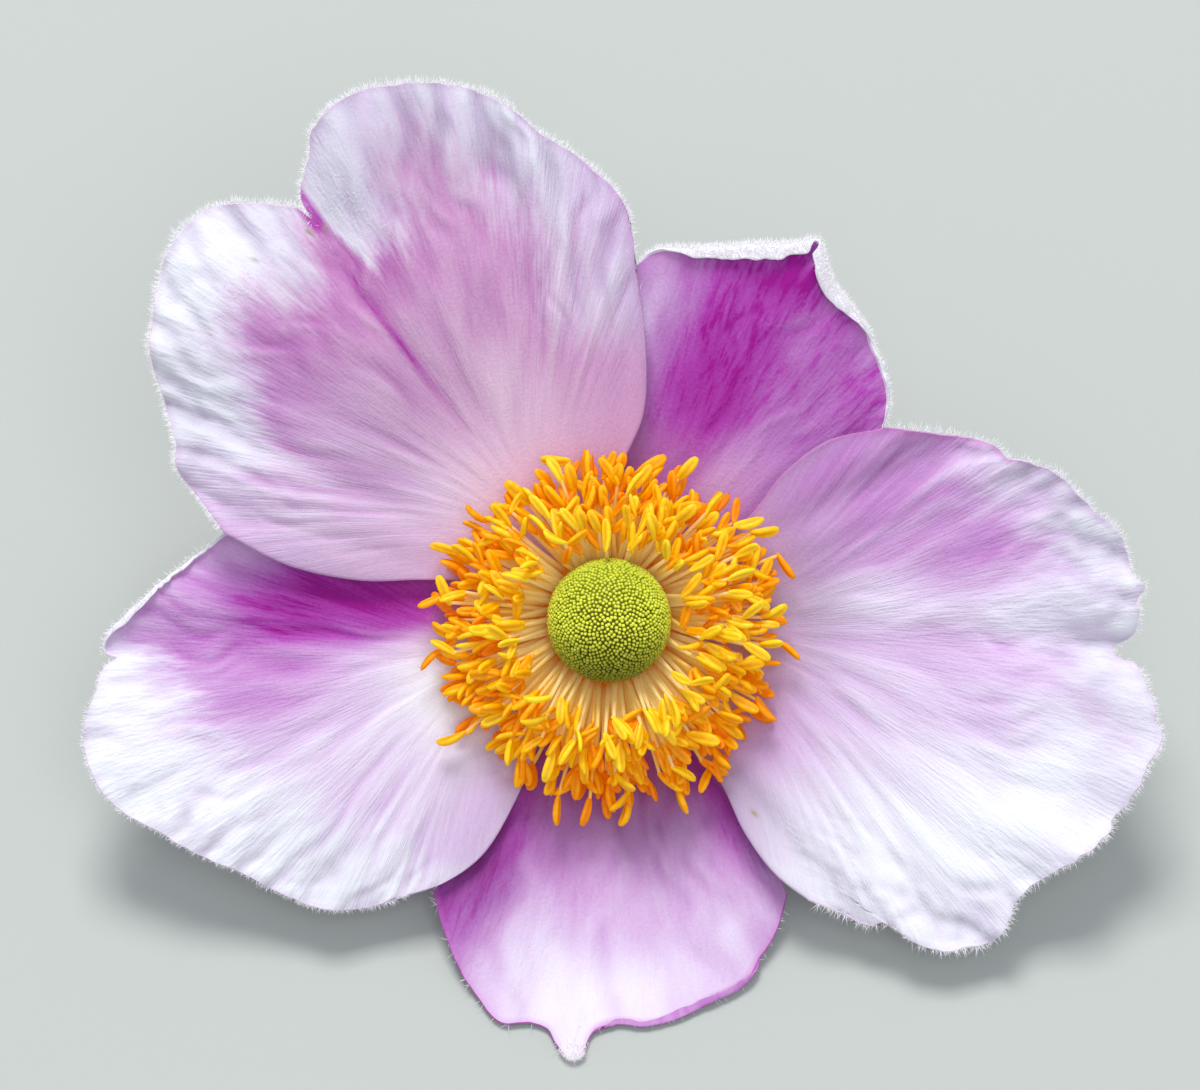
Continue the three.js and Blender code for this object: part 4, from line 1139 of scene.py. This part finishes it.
# %% Shape the anther
ANTHER_LENGTH = 2.05
ANTHER_WIDTH = 0.66
ANTHER_DEPTH = 0.48
ANTHER_SIDES = 12
ANTHER_BANDS = 7
ANTHER_FORMS = [(0.07, 0.0, 1.0), (-0.14, 0.35, 0.9), (0.2, -0.5, 1.1)]  # bend, twist and fullness


def anther_pattern(curl, twist, fullness):
    """Two grooved sacs, along z, with the groove's depth kept at each point."""
    rings = [(math.sin(t), -math.cos(t)) for t in np.linspace(0, np.pi, ANTHER_BANDS + 1)]
    pattern = round_peg("anther_pattern", rings, ANTHER_SIDES)
    points = np.array([vertex.co[:] for vertex in pattern.data.vertices])
    x, y, z = points.T
    fuller = (1 - np.abs(z) ** 2.6) ** 0.5 / np.maximum(np.sqrt(1 - np.minimum(z * z, 0.9999)), 1e-3)
    fuller = np.where(np.abs(z) > 0.999, 1, fuller)
    x, y = x * fuller, y * fuller
    groove = hill(x / 0.24) * (1 - z**4)
    y = y * (1 - 0.6 * groove)
    narrowed = fullness * (1 + 0.16 * z)
    x, y = x * narrowed * ANTHER_WIDTH / 2, y * narrowed * ANTHER_DEPTH / 2
    turned_x = x * np.cos(twist * z) - y * np.sin(twist * z)
    turned_y = x * np.sin(twist * z) + y * np.cos(twist * z)
    shaped = np.stack([turned_x, turned_y + curl * (z * z - 0.3), z * ANTHER_LENGTH / 2], axis=-1)
    pattern.data.vertices.foreach_set("co", shaped.astype(np.float32).ravel())
    groove_kept = pattern.data.attributes.new("groove", "FLOAT", "POINT")
    groove_kept.data.foreach_set("value", groove.astype(np.float32))
    return pattern


# %% [markdown]
# ## Growing the stamens
#
# Geometry Nodes repeat them. Every foot point carries its knee, end and nod as attributes. One tree bends
# a thread through foot, knee and end and gives it a round section. The other sets an anther on each end
# and turns it to its nod.

# %% Trees for filaments and anthers
FILAMENT_STEPS = 8
FILAMENT_TAPER = (1.15, 0.7)  # thickness at the foot and at the end


def named(tree, key, kind="FLOAT_VECTOR"):
    """The socket of an attribute that the points carry."""
    return add_node(tree, "GeometryNodeInputNamedAttribute", {"Name": key}, data_type=kind).outputs[0]


def filament_tree():
    """Bends a thread from each foot through its knee to its end."""
    tree = new_tree("Filaments", {"Radius": "NodeSocketFloat", "Sides": "NodeSocketInt"})
    given = add_node(tree, "NodeGroupInput").outputs
    line = add_node(tree, "GeometryNodeMeshLine", {"Count": FILAMENT_STEPS + 1}).outputs[0]
    index = add_node(tree, "GeometryNodeInputIndex").outputs[0]
    line = stored(tree, line, "t", math_node(tree, "DIVIDE", index, float(FILAMENT_STEPS)))
    foot_place = add_node(tree, "GeometryNodeInputPosition").outputs[0]
    feet = stored(tree, given["Geometry"], "foot", foot_place, "FLOAT_VECTOR")
    threads = add_node(tree, "GeometryNodeInstanceOnPoints", {"Points": feet, "Instance": line}).outputs[0]
    threads = add_node(tree, "GeometryNodeRealizeInstances", {"Geometry": threads}).outputs[0]
    t = named(tree, "t", "FLOAT")

    def between(a, b):
        """The point at share t of the way from a to b."""
        return add_node(tree, "ShaderNodeMix", {0: t, 4: a, 5: b}, data_type="VECTOR").outputs[1]

    first = between(named(tree, "foot"), named(tree, "knee"))
    second = between(named(tree, "knee"), named(tree, "end"))
    bent = {"Geometry": threads, "Position": between(first, second)}
    threads = add_node(tree, "GeometryNodeSetPosition", bent).outputs[0]
    curves = add_node(tree, "GeometryNodeMeshToCurve", {"Mesh": threads}).outputs[0]
    thin = {"Curve": curves, "Radius": mapped(tree, t, 0.0, 1.0, *FILAMENT_TAPER)}
    curves = add_node(tree, "GeometryNodeSetCurveRadius", thin).outputs[0]
    section = {"Resolution": given["Sides"], "Radius": given["Radius"]}
    section = add_node(tree, "GeometryNodeCurvePrimitiveCircle", section).outputs[0]
    skin = {"Curve": curves, "Profile Curve": section, "Fill Caps": True}
    skin = add_node(tree, "GeometryNodeCurveToMesh", skin)
    if "Scale" in skin.inputs:
        connect(tree, skin, {"Scale": add_node(tree, "GeometryNodeInputRadius").outputs[0]})
    return end_tree(tree, skin.outputs[0])


def anther_tree():
    """Sets an anther on each filament's end."""
    tree = new_tree("Anthers", {"Anther": "NodeSocketObject", "Attached at": "NodeSocketFloat"})
    given = add_node(tree, "NodeGroupInput").outputs
    size, nod_way = named(tree, "size", "FLOAT"), named(tree, "nod")
    step = scaled(tree, nod_way, math_node(tree, "MULTIPLY", size, given["Attached at"]))
    moved = {"Geometry": given["Geometry"], "Position": vector_sum(tree, named(tree, "end"), step)}
    middles = add_node(tree, "GeometryNodeSetPosition", moved).outputs[0]
    turned = spun(tree, aligned(tree, nod_way), named(tree, "spin", "FLOAT"))
    return end_tree(tree, copies_on(tree, middles, given["Anther"], turned, size))


# %% Grow filaments and anthers
FILAMENT_RADIUS = 0.15
FILAMENT_SIDES = 6
filaments = mesh_object("filaments", foot, [], stamen_facts)
grow(filaments, filament_tree(), {"Radius": FILAMENT_RADIUS, "Sides": FILAMENT_SIDES})
filaments.data.transform(face_matrix)
anther_branch = anther_tree()
anther_groups = []
for number, form in enumerate(ANTHER_FORMS):
    pattern = anther_pattern(*form)
    some = slice(number, None, len(ANTHER_FORMS))
    facts = {key: values[some] for key, values in stamen_facts.items()}
    group = mesh_object("anthers_" + "abc"[number], foot[some], [], facts)
    grow(group, anther_branch, {"Anther": pattern, "Attached at": ATTACHED_AT})
    bpy.data.objects.remove(pattern)
    group.data.transform(face_matrix)
    anther_groups.append(group)

# %% [markdown]
# ## Anther and filament skins
#
# Anthers are plump sacs with a satin skin, egg yellow to orange, darker in the groove. Filaments are pale
# cream threads that let light through, warmer at the foot. Both carry a little painted glow, an emission that
# stands in for light that enters them, wanders about inside and comes out again. All the filaments stand on a
# low round cushion.

# %% Materials of the stamens
# The glows are painted light: emission that stands in for light scattered inside the tissue.
ANTHER_PAINTED_GLOW = 0.09  # light scattered inside, which the plain surface doesn't give back
ANTHER_LIGHT = 0.25  # share of light that comes through
FILAMENT_PAINTED_GLOW = 0.12
FILAMENT_LIGHT = 0.45


def anther_skin():
    """Satin skin of a pollen sac."""
    material, tree, shader = new_material("satin anther skin")
    blotch = mapped(tree, fine_grain(tree, 2600.0), 0.3, 0.7, -0.14, 0.14)
    tone = math_node(tree, "ADD", carried(tree, "tone"), blotch)
    tones = [(0.0, "#FA9200"), (0.35, "#FFAC00"), (0.65, "#FFCA04"), (1.0, "#FFE62A")]
    seam = math_node(tree, "MULTIPLY", carried(tree, "groove"), 0.5)
    colour = blended(tree, seam, ramped(tree, tone, tones), linear("#F07800"))
    # painted glow: a small emission in the sac's own colour
    skin = {
        "Base Color": colour, "Emission Color": colour, "Emission Strength": ANTHER_PAINTED_GLOW,
        "Roughness": 0.4, "IOR": 1.45, "Specular IOR Level": 0.3,
    }
    connect(tree, shader, skin)
    let_light_through(tree, shader, ANTHER_LIGHT, colour)
    return material


def filament_skin():
    """Cream thread of living tissue."""
    material, tree, shader = new_material("cream filament")
    attribute = partial(carried, tree)
    tones = [(0.0, "#EC9000"), (0.2, "#EEB430"), (0.45, "#F4D880"), (1.0, "#FFE470")]
    # the filaments turn cream along their length where the stamen's tone is yellower, so they share the
    # anthers' painted shade
    paler = mapped(tree, attribute("tone"), 0.35, 0.8, 0.0, 0.75)
    cream = math_node(tree, "MULTIPLY", paler, mapped(tree, attribute("t"), 0.1, 0.4))
    colour = blended(tree, cream, ramped(tree, attribute("t"), tones), linear("#FFF1BC"))
    # painted glow: a small emission in the filament's own colour, also on the cushion
    skin = {
        "Base Color": colour, "Emission Color": colour, "Emission Strength": FILAMENT_PAINTED_GLOW, "Roughness": 0.45,
    }
    connect(tree, shader, skin)
    let_light_through(tree, shader, FILAMENT_LIGHT, colour)
    return material


CUSHION_RINGS = [(0, 1.0), (3.5, 1.0), (4.3, 1.6), (4.7, 2.3), (4.5, 2.9), (3.9, 3.3), (3.0, 3.3), (0, 2.9)]
filament_material = filament_skin()
cushion = round_peg("stamen_cushion", CUSHION_RINGS, 64)
cushion.data.attributes.new("t", "FLOAT", "POINT")
cushion.data.transform(face_matrix)
finish_piece(cushion, filament_material, "stamens", "stamens")
finish_piece(filaments, filament_material, "stamens", "stamens")
anther_material = anther_skin()
for group in anther_groups:
    finish_piece(group, anther_material, "stamens", "stamens")

# %% [markdown]
# ## Receptacle and stalk
#
# The stalk swells to the small receptacle that carries everything. It is one body of revolution bent
# along a route: down from the flower and then along the floor.

# %% Shape the stalk
RECEPTACLE_TOP = 2.1
AXIS_HEIGHTS = (RECEPTACLE_TOP, 0.5, -1.5, -3.5, -5.2)  # of the route's first points, along the axis
STALK_ROUTE = [(-0.1, 5.4, 1.95), (-0.4, 9, 1.09), (-1.2, 16, 0.95), (-2.6, 26, 0.95), (-3.2, 37, 0.95)]
STALK_PROFILE = [
    (0, 0), (2.2, 0), (2.5, 0.15), (2.6, 0.5), (2.6, 2.6), (2.45, 3.1), (2.0, 3.7), (1.4, 4.5),
    (1.08, 5.6), (0.95, 7),
]  # radius and distance along the route
STALK_SIDES = 28
STALK_RINGS = 150
NECK_RINGS = 36  # of those, on the receptacle
NECK_LENGTH = 7


def stalk_body():
    """The bent stalk as rings round its route, as points, faces and each point's share of the route."""
    axis = FACE_AXES[2]
    above_floor = np.array([ATTACHMENT[0], ATTACHMENT[1], 0])
    along_axis = [ATTACHMENT + axis * height for height in AXIS_HEIGHTS]
    route = curve_through(along_axis + [above_floor + np.array(p) for p in STALK_ROUTE], 40)
    length = np.linalg.norm(np.diff(route, axis=0), axis=1).sum()
    neck = np.linspace(0, NECK_LENGTH, NECK_RINGS)
    distance = np.concatenate([neck, np.linspace(NECK_LENGTH, length, STALK_RINGS - NECK_RINGS + 1)[1:]])
    middle = spaced_along(route, distance / length)
    forward = np.gradient(middle, axis=0)
    forward /= np.linalg.norm(forward, axis=1, keepdims=True)
    side = np.array([1.0, 0, 0]) - forward * forward[:, :1]
    side /= np.linalg.norm(side, axis=1, keepdims=True)
    other = np.cross(side, forward)
    profile = np.array(STALK_PROFILE)
    radius = np.interp(distance, profile[:, 1], profile[:, 0])
    radius[0] = 0.02
    turn = np.linspace(0, 2 * np.pi, STALK_SIDES, endpoint=False)
    ribs = 1 + 0.03 * np.cos(5 * turn)[None] + 0.03 * soft_noise(turn[None] * 3, distance[:, None] / 4, 71)
    ring = radius[:, None] * ribs
    outward = np.sin(turn)[None, :, None] * side[:, None] + np.cos(turn)[None, :, None] * other[:, None]
    points = middle[:, None] + ring[..., None] * outward
    points[..., 2] = np.maximum(points[..., 2], 0.0)
    rings = len(distance)
    index = np.arange(rings * STALK_SIDES).reshape(rings, STALK_SIDES)
    ahead = np.roll(index, -1, axis=1)
    quads = np.stack([index[:-1], ahead[:-1], ahead[1:], index[1:]], axis=-1).reshape(-1, 4).tolist()
    caps = [index[0][::-1].tolist(), index[-1].tolist()]
    return points.reshape(-1, 3), quads + caps, np.repeat(distance / length, STALK_SIDES)


stalk_points, stalk_faces, stalk_share = stalk_body()
stalk = mesh_object("stalk_skin", stalk_points * MM, stalk_faces, {"along": stalk_share})

# %% [markdown]
# ## Stalk skin
#
# Anemone stalks are green with a flush of purple brown on the outside, and fine lengthwise ribs.

# %% Material of the stalk


def stalk_skin():
    """Green stalk with a purple-brown flush."""
    material, tree, shader = new_material("flushed green stalk")
    place = add_node(tree, "ShaderNodeTexCoord").outputs["Object"]
    stretched = {"Vector": place, "Scale": (900, 90, 900)}
    stretched = add_node(tree, "ShaderNodeMapping", stretched).outputs["Vector"]
    noise = {"Vector": stretched, "Scale": 1.0, "Detail": 3.0}
    noise = add_node(tree, "ShaderNodeTexNoise", noise).outputs["Fac"]
    flush = mapped(tree, math_node(tree, "ADD", carried(tree, "along"), noise), 0.35, 1.35)
    tones = [(0.0, "#8FA05A"), (0.25, "#8B7C56"), (0.5, "#7A5360"), (0.95, "#5E3A4C")]
    skin = {
        "Base Color": ramped(tree, flush, tones), "Normal": relief_normal(tree, noise, 0.4),
        "Roughness": 0.5, "IOR": 1.42, "Sheen Weight": 0.15,
    }
    connect(tree, shader, skin)
    return material


finish_piece(stalk, stalk_skin(), "stalk", "stalk")

# %% [markdown]
# ## Hairs
#
# Backs, rims and stalk carry fine white silky hairs. Each is a slim spike of a few faces. Points with a
# direction and a length say where they stand, and one Geometry Nodes tree grows them all. On the real
# flower a hair is about 0.02 mm thick. Here it is 0.034 mm, about the least that a picture shows.

# %% Tree that grows hairs
HAIR_RADIUS = 0.017


def hair_pattern():
    """A slim bent spike one mm long."""
    pattern = round_peg("hair_pattern", [(0, 0), (HAIR_RADIUS, 0), (HAIR_RADIUS * 0.8, 0.5), (0, 1)], 3)
    for vertex in pattern.data.vertices:
        vertex.co.x += 0.12 * vertex.co.z**2
    return pattern


def hair_tree():
    """Stands a spike on every point."""
    tree = new_tree("Hairs", {"Hair": "NodeSocketObject", "Seed": "NodeSocketInt"})
    given = add_node(tree, "NodeGroupInput").outputs
    angle = {2: 0.0, 3: 2 * math.pi, "Seed": given["Seed"]}
    angle = add_node(tree, "FunctionNodeRandomValue", angle, data_type="FLOAT").outputs[1]
    turned = spun(tree, aligned(tree, named(tree, "way")), angle)
    size = {0: 1.0, 1: 1.0, 2: named(tree, "length", "FLOAT")}
    size = add_node(tree, "ShaderNodeCombineXYZ", size).outputs[0]
    return end_tree(tree, copies_on(tree, given["Geometry"], given["Hair"], turned, size))


# %% [markdown]
# ## Where the hairs stand
#
# Along a margin they point outwards and a little back, in tufts. On the backs they lie almost flat and
# point to the rim. The rolled hems are felted, as they are backs turned forward, and a few spots of the
# front faces are downy. Stalk and receptacle carry some more.

# %% Scatter the hairs
MARGIN_HAIRS = {
    "tepal_right": 1300, "tepal_top": 1300, "tepal_top_left": 2400, "tepal_left": 700, "tepal_bottom": 60,
}
SHORTER_MARGINS = {"tepal_left": 0.65}  # share of the usual length
BACK_HAIRS = 500
HEM_HAIRS = {"tepal_top": 3000, "tepal_left": 400}
DOWN_PATCHES = [
    ("tepal_bottom", 265.4, 26.9, 0.55, 700), ("tepal_top_left", 121.5, 30.5, 1.4, 300),
    ("tepal_top_left", 137, 31, 1.4, 200),
]  # blade, angle, reach, spread in mm and count of short down on a front face
HAIR_LENGTHS = {
    "margin": (0.25, 0.8), "back": (0.5, 1.2), "hem": (0.2, 0.55), "down": (0.15, 0.4), "stalk": (0.25, 0.6),
}
LOWEST_HAIR = 0.05  # mm above the floor
STALK_HAIRS = 1500
FIRST_HAIRY_RING = 14  # of the stalk's rings
LOWEST_STALK_HAIR = 0.5  # mm above the floor
hairs = {"places": [], "ways": [], "lengths": []}


def unit(vectors):
    """Vectors of length 1."""
    return vectors / np.maximum(np.linalg.norm(vectors, axis=-1, keepdims=True), 1e-9)


def keep_hairs(places, ways, lengths):
    """Adds hairs to the list, in the face frame."""
    hairs["places"].append(places)
    hairs["ways"].append(unit(ways))
    hairs["lengths"].append(lengths)


for number, (name, (grid, facts)) in enumerate(blade_rims.items()):
    rng = np.random.default_rng(500 + number)
    normals = grid_normals(grid)
    rim_row = BLADE_ROWS - 1
    count = MARGIN_HAIRS[name]
    column = rng.uniform(1, BLADE_COLUMNS - 2, count)
    low = column.astype(int)
    part = (column - low)[:, None]
    line = grid[:, rim_row]
    place = line[low] * (1 - part) + line[low + 1] * part
    tangent = unit(np.gradient(line, axis=0))[low]
    normal = normals[low, rim_row - 2]
    outward = unit(np.cross(tangent, normal))
    outward *= np.sign((outward * (line - grid[:, rim_row - 3])[low]).sum(-1, keepdims=True))
    jitter = rng.normal(0, 0.35, (count, 3))
    ways = outward + 0.35 * tangent * rng.normal(0, 1, (count, 1)) - 0.2 * normal + jitter
    tufts = 1 + 0.3 * soft_noise(column / 4, 0.5, 40 + number)
    tufts *= SHORTER_MARGINS.get(name, 1)
    keep_hairs(place, ways, rng.uniform(*HAIR_LENGTHS["margin"], count) * tufts)
    across = rng.integers(2, BLADE_COLUMNS - 2, BACK_HAIRS)
    along = (np.sqrt(rng.uniform(0.02, 1, BACK_HAIRS)) * (rim_row - 2)).astype(int)
    place = grid[across, along] - 0.12 * normals[across, along]
    towards = unit(grid[across, np.minimum(along + 2, rim_row)] - grid[across, along])
    ways = towards - 0.45 * normals[across, along] + rng.normal(0, 0.15, (BACK_HAIRS, 3))
    keep_hairs(place, ways, rng.uniform(*HAIR_LENGTHS["back"], BACK_HAIRS))

for name, count in HEM_HAIRS.items():
    grid = blade_rims[name][0]
    normals = grid_normals(grid)
    rng = np.random.default_rng(len(name))
    wide = np.linalg.norm(grid[:, -1] - grid[:, -HEM_ROWS], axis=-1)
    across = rng.choice(len(grid), count, p=wide / wide.sum())
    along = rng.integers(BLADE_ROWS - 2, grid.shape[1] - 1, count)
    place = grid[across, along] - 0.08 * normals[across, along]
    ways = 0.5 * unit(place * [1, 1, 0]) - 0.6 * normals[across, along] + rng.normal(0, 0.45, (count, 3))
    keep_hairs(place, ways, rng.uniform(*HAIR_LENGTHS["hem"], count))

for name, angle, reach, spread, count in DOWN_PATCHES:
    grid, facts = blade_rims[name]
    normals = grid_normals(grid)
    rng = np.random.default_rng(count)
    aside = np.radians(facts["angle"] - angle) * facts["reach"]
    chance = (hill(aside / spread) * hill((facts["reach"] - reach) / spread)).ravel()
    picked = rng.choice(chance.size, count, p=chance / chance.sum())
    place, normal = grid.reshape(-1, 3)[picked], normals.reshape(-1, 3)[picked]
    ways = 0.5 * normal + 0.6 * unit(place * [1, 1, 0]) + rng.normal(0, 0.45, (count, 3))
    place = place + 0.06 * normal + rng.normal(0, 0.04, (count, 3))
    keep_hairs(place, ways, rng.uniform(*HAIR_LENGTHS["down"], count))

hair_places, hair_ways = np.concatenate(hairs["places"]), np.concatenate(hairs["ways"])
hair_lengths = np.concatenate(hairs["lengths"])
ends = np.stack([hair_places, hair_places + hair_ways * hair_lengths[:, None]])
clear = (ends @ FACE_AXES + ATTACHMENT)[..., 2].min(axis=0) > LOWEST_HAIR
hair_facts = {"way": hair_ways[clear], "length": hair_lengths[clear]}
hair = hair_pattern()
tepal_hairs = mesh_object("tepal_hairs", hair_places[clear], [], hair_facts)
grow(tepal_hairs, hair_tree(), {"Hair": hair, "Seed": 11})
tepal_hairs.data.transform(face_matrix)

rng = np.random.default_rng(900)
ring_points = stalk_points.reshape(-1, STALK_SIDES, 3)
ring = rng.integers(FIRST_HAIRY_RING, len(ring_points) - 1, STALK_HAIRS)
side = rng.integers(0, STALK_SIDES, STALK_HAIRS)
place = ring_points[ring, side]
away = unit(place - ring_points[ring].mean(axis=1))
ways = away + rng.normal(0, 0.4, (STALK_HAIRS, 3))
kept = place[:, 2] > LOWEST_STALK_HAIR
lengths = rng.uniform(*HAIR_LENGTHS["stalk"], STALK_HAIRS)
hair_facts = {"way": unit(ways[kept]), "length": lengths[kept]}
stalk_hairs = mesh_object("stalk_hairs", place[kept], [], hair_facts)
grow(stalk_hairs, bpy.data.node_groups["Hairs"], {"Hair": hair, "Seed": 12})
stalk_hairs.data.transform(Matrix.Scale(MM, 4))
bpy.data.objects.remove(hair)

# %% Material of the hairs
# painted glow: emission that stands in for light passed on inside a hair
HAIR_PAINTED_GLOW = 0.3  # light that a hair passes on inside itself
HAIR_LIGHT = 0.4  # share of light that comes through


def hair_skin():
    """White silky hair."""
    material, tree, shader = new_material("white silky hair")
    colour = add_node(tree, "ShaderNodeRGB").outputs[0]
    colour.default_value = linear("#F7F5F8")
    # painted glow: a white emission on every hair
    skin = {
        "Base Color": colour, "Emission Color": colour, "Emission Strength": HAIR_PAINTED_GLOW, "Roughness": 0.45,
        "IOR": 1.5,
    }
    connect(tree, shader, skin)
    let_light_through(tree, shader, HAIR_LIGHT, colour)
    return material


hair_material = hair_skin()
finish_piece(tepal_hairs, hair_material, "tepal")
finish_piece(stalk_hairs, hair_material, "stalk")

# %% [markdown]
# ## Floor, light and camera
#
# A plain pale floor, a large soft light from above the top of the picture, a weak fill, and a camera that
# looks straight down the flower's axis from about half a metre, as the photograph does.

# %% Stage
FLOOR_HALF = 0.6  # metres
floor_corners = np.array([[-1, -1, 0], [1, -1, 0], [1, 1, 0], [-1, 1, 0]]) * FLOOR_HALF
floor = mesh_object("floor", floor_corners, [[0, 1, 2, 3]])
floor_material, floor_tree, floor_shader = new_material("plain pale paper")
paper = {"Base Color": linear("#B6BBB5"), "Roughness": 0.9, "Specular IOR Level": 0.1}
connect(floor_tree, floor_shader, paper)
floor.data.materials.append(floor_material)


def area_light(name, place, size, power, colour):
    """A square soft light that faces the flower."""
    lamp = bpy.data.lights.new(name, "AREA")
    lamp.size = size
    lamp.energy = power
    lamp.color = linear(colour)[:3]
    thing = bpy.data.objects.new(name, lamp)
    thing.location = place
    thing.rotation_euler = (-thing.location).to_track_quat("-Z", "Y").to_euler()
    bpy.context.scene.collection.objects.link(thing)


area_light("sky from above the flower", place=(-0.09, 0.36, 0.85), size=0.36, power=6.8, colour="#FFFFFF")
area_light("fill from the viewer", place=(0.12, -0.45, 0.8), size=0.5, power=1.9, colour="#FAFBFF")
world = bpy.data.worlds.new("soft studio")
world.use_nodes = True
background = world.node_tree.nodes["Background"]
connect(world.node_tree, background, {"Color": linear("#EEF2FF"), "Strength": 0.57})
scene = bpy.context.scene
scene.world = world
scene.view_settings.view_transform = "Standard"

# %% Camera
PIXELS_PER_MM = 16
PHOTO_SIZE = (1200, 1090)
HEAD_PIXEL = (609, 620)  # where the photograph shows the middle of the carpel head
CAMERA_DISTANCE = 450  # mm
SENSOR = 36  # mm
aim_x = (PHOTO_SIZE[0] / 2 - HEAD_PIXEL[0]) / PIXELS_PER_MM
aim_y = (HEAD_PIXEL[1] - PHOTO_SIZE[1] / 2) / PIXELS_PER_MM
camera_data = bpy.data.cameras.new("camera")
camera_data.sensor_width = SENSOR
camera_data.lens = SENSOR * CAMERA_DISTANCE / (PHOTO_SIZE[0] / PIXELS_PER_MM)
camera_data.clip_start = 0.01
camera = bpy.data.objects.new("camera", camera_data)
camera.location = to_world([aim_x, aim_y, BALL_MIDDLE + CAMERA_DISTANCE])
camera.rotation_euler = (LEAN, 0, 0)
scene.collection.objects.link(camera)
scene.camera = camera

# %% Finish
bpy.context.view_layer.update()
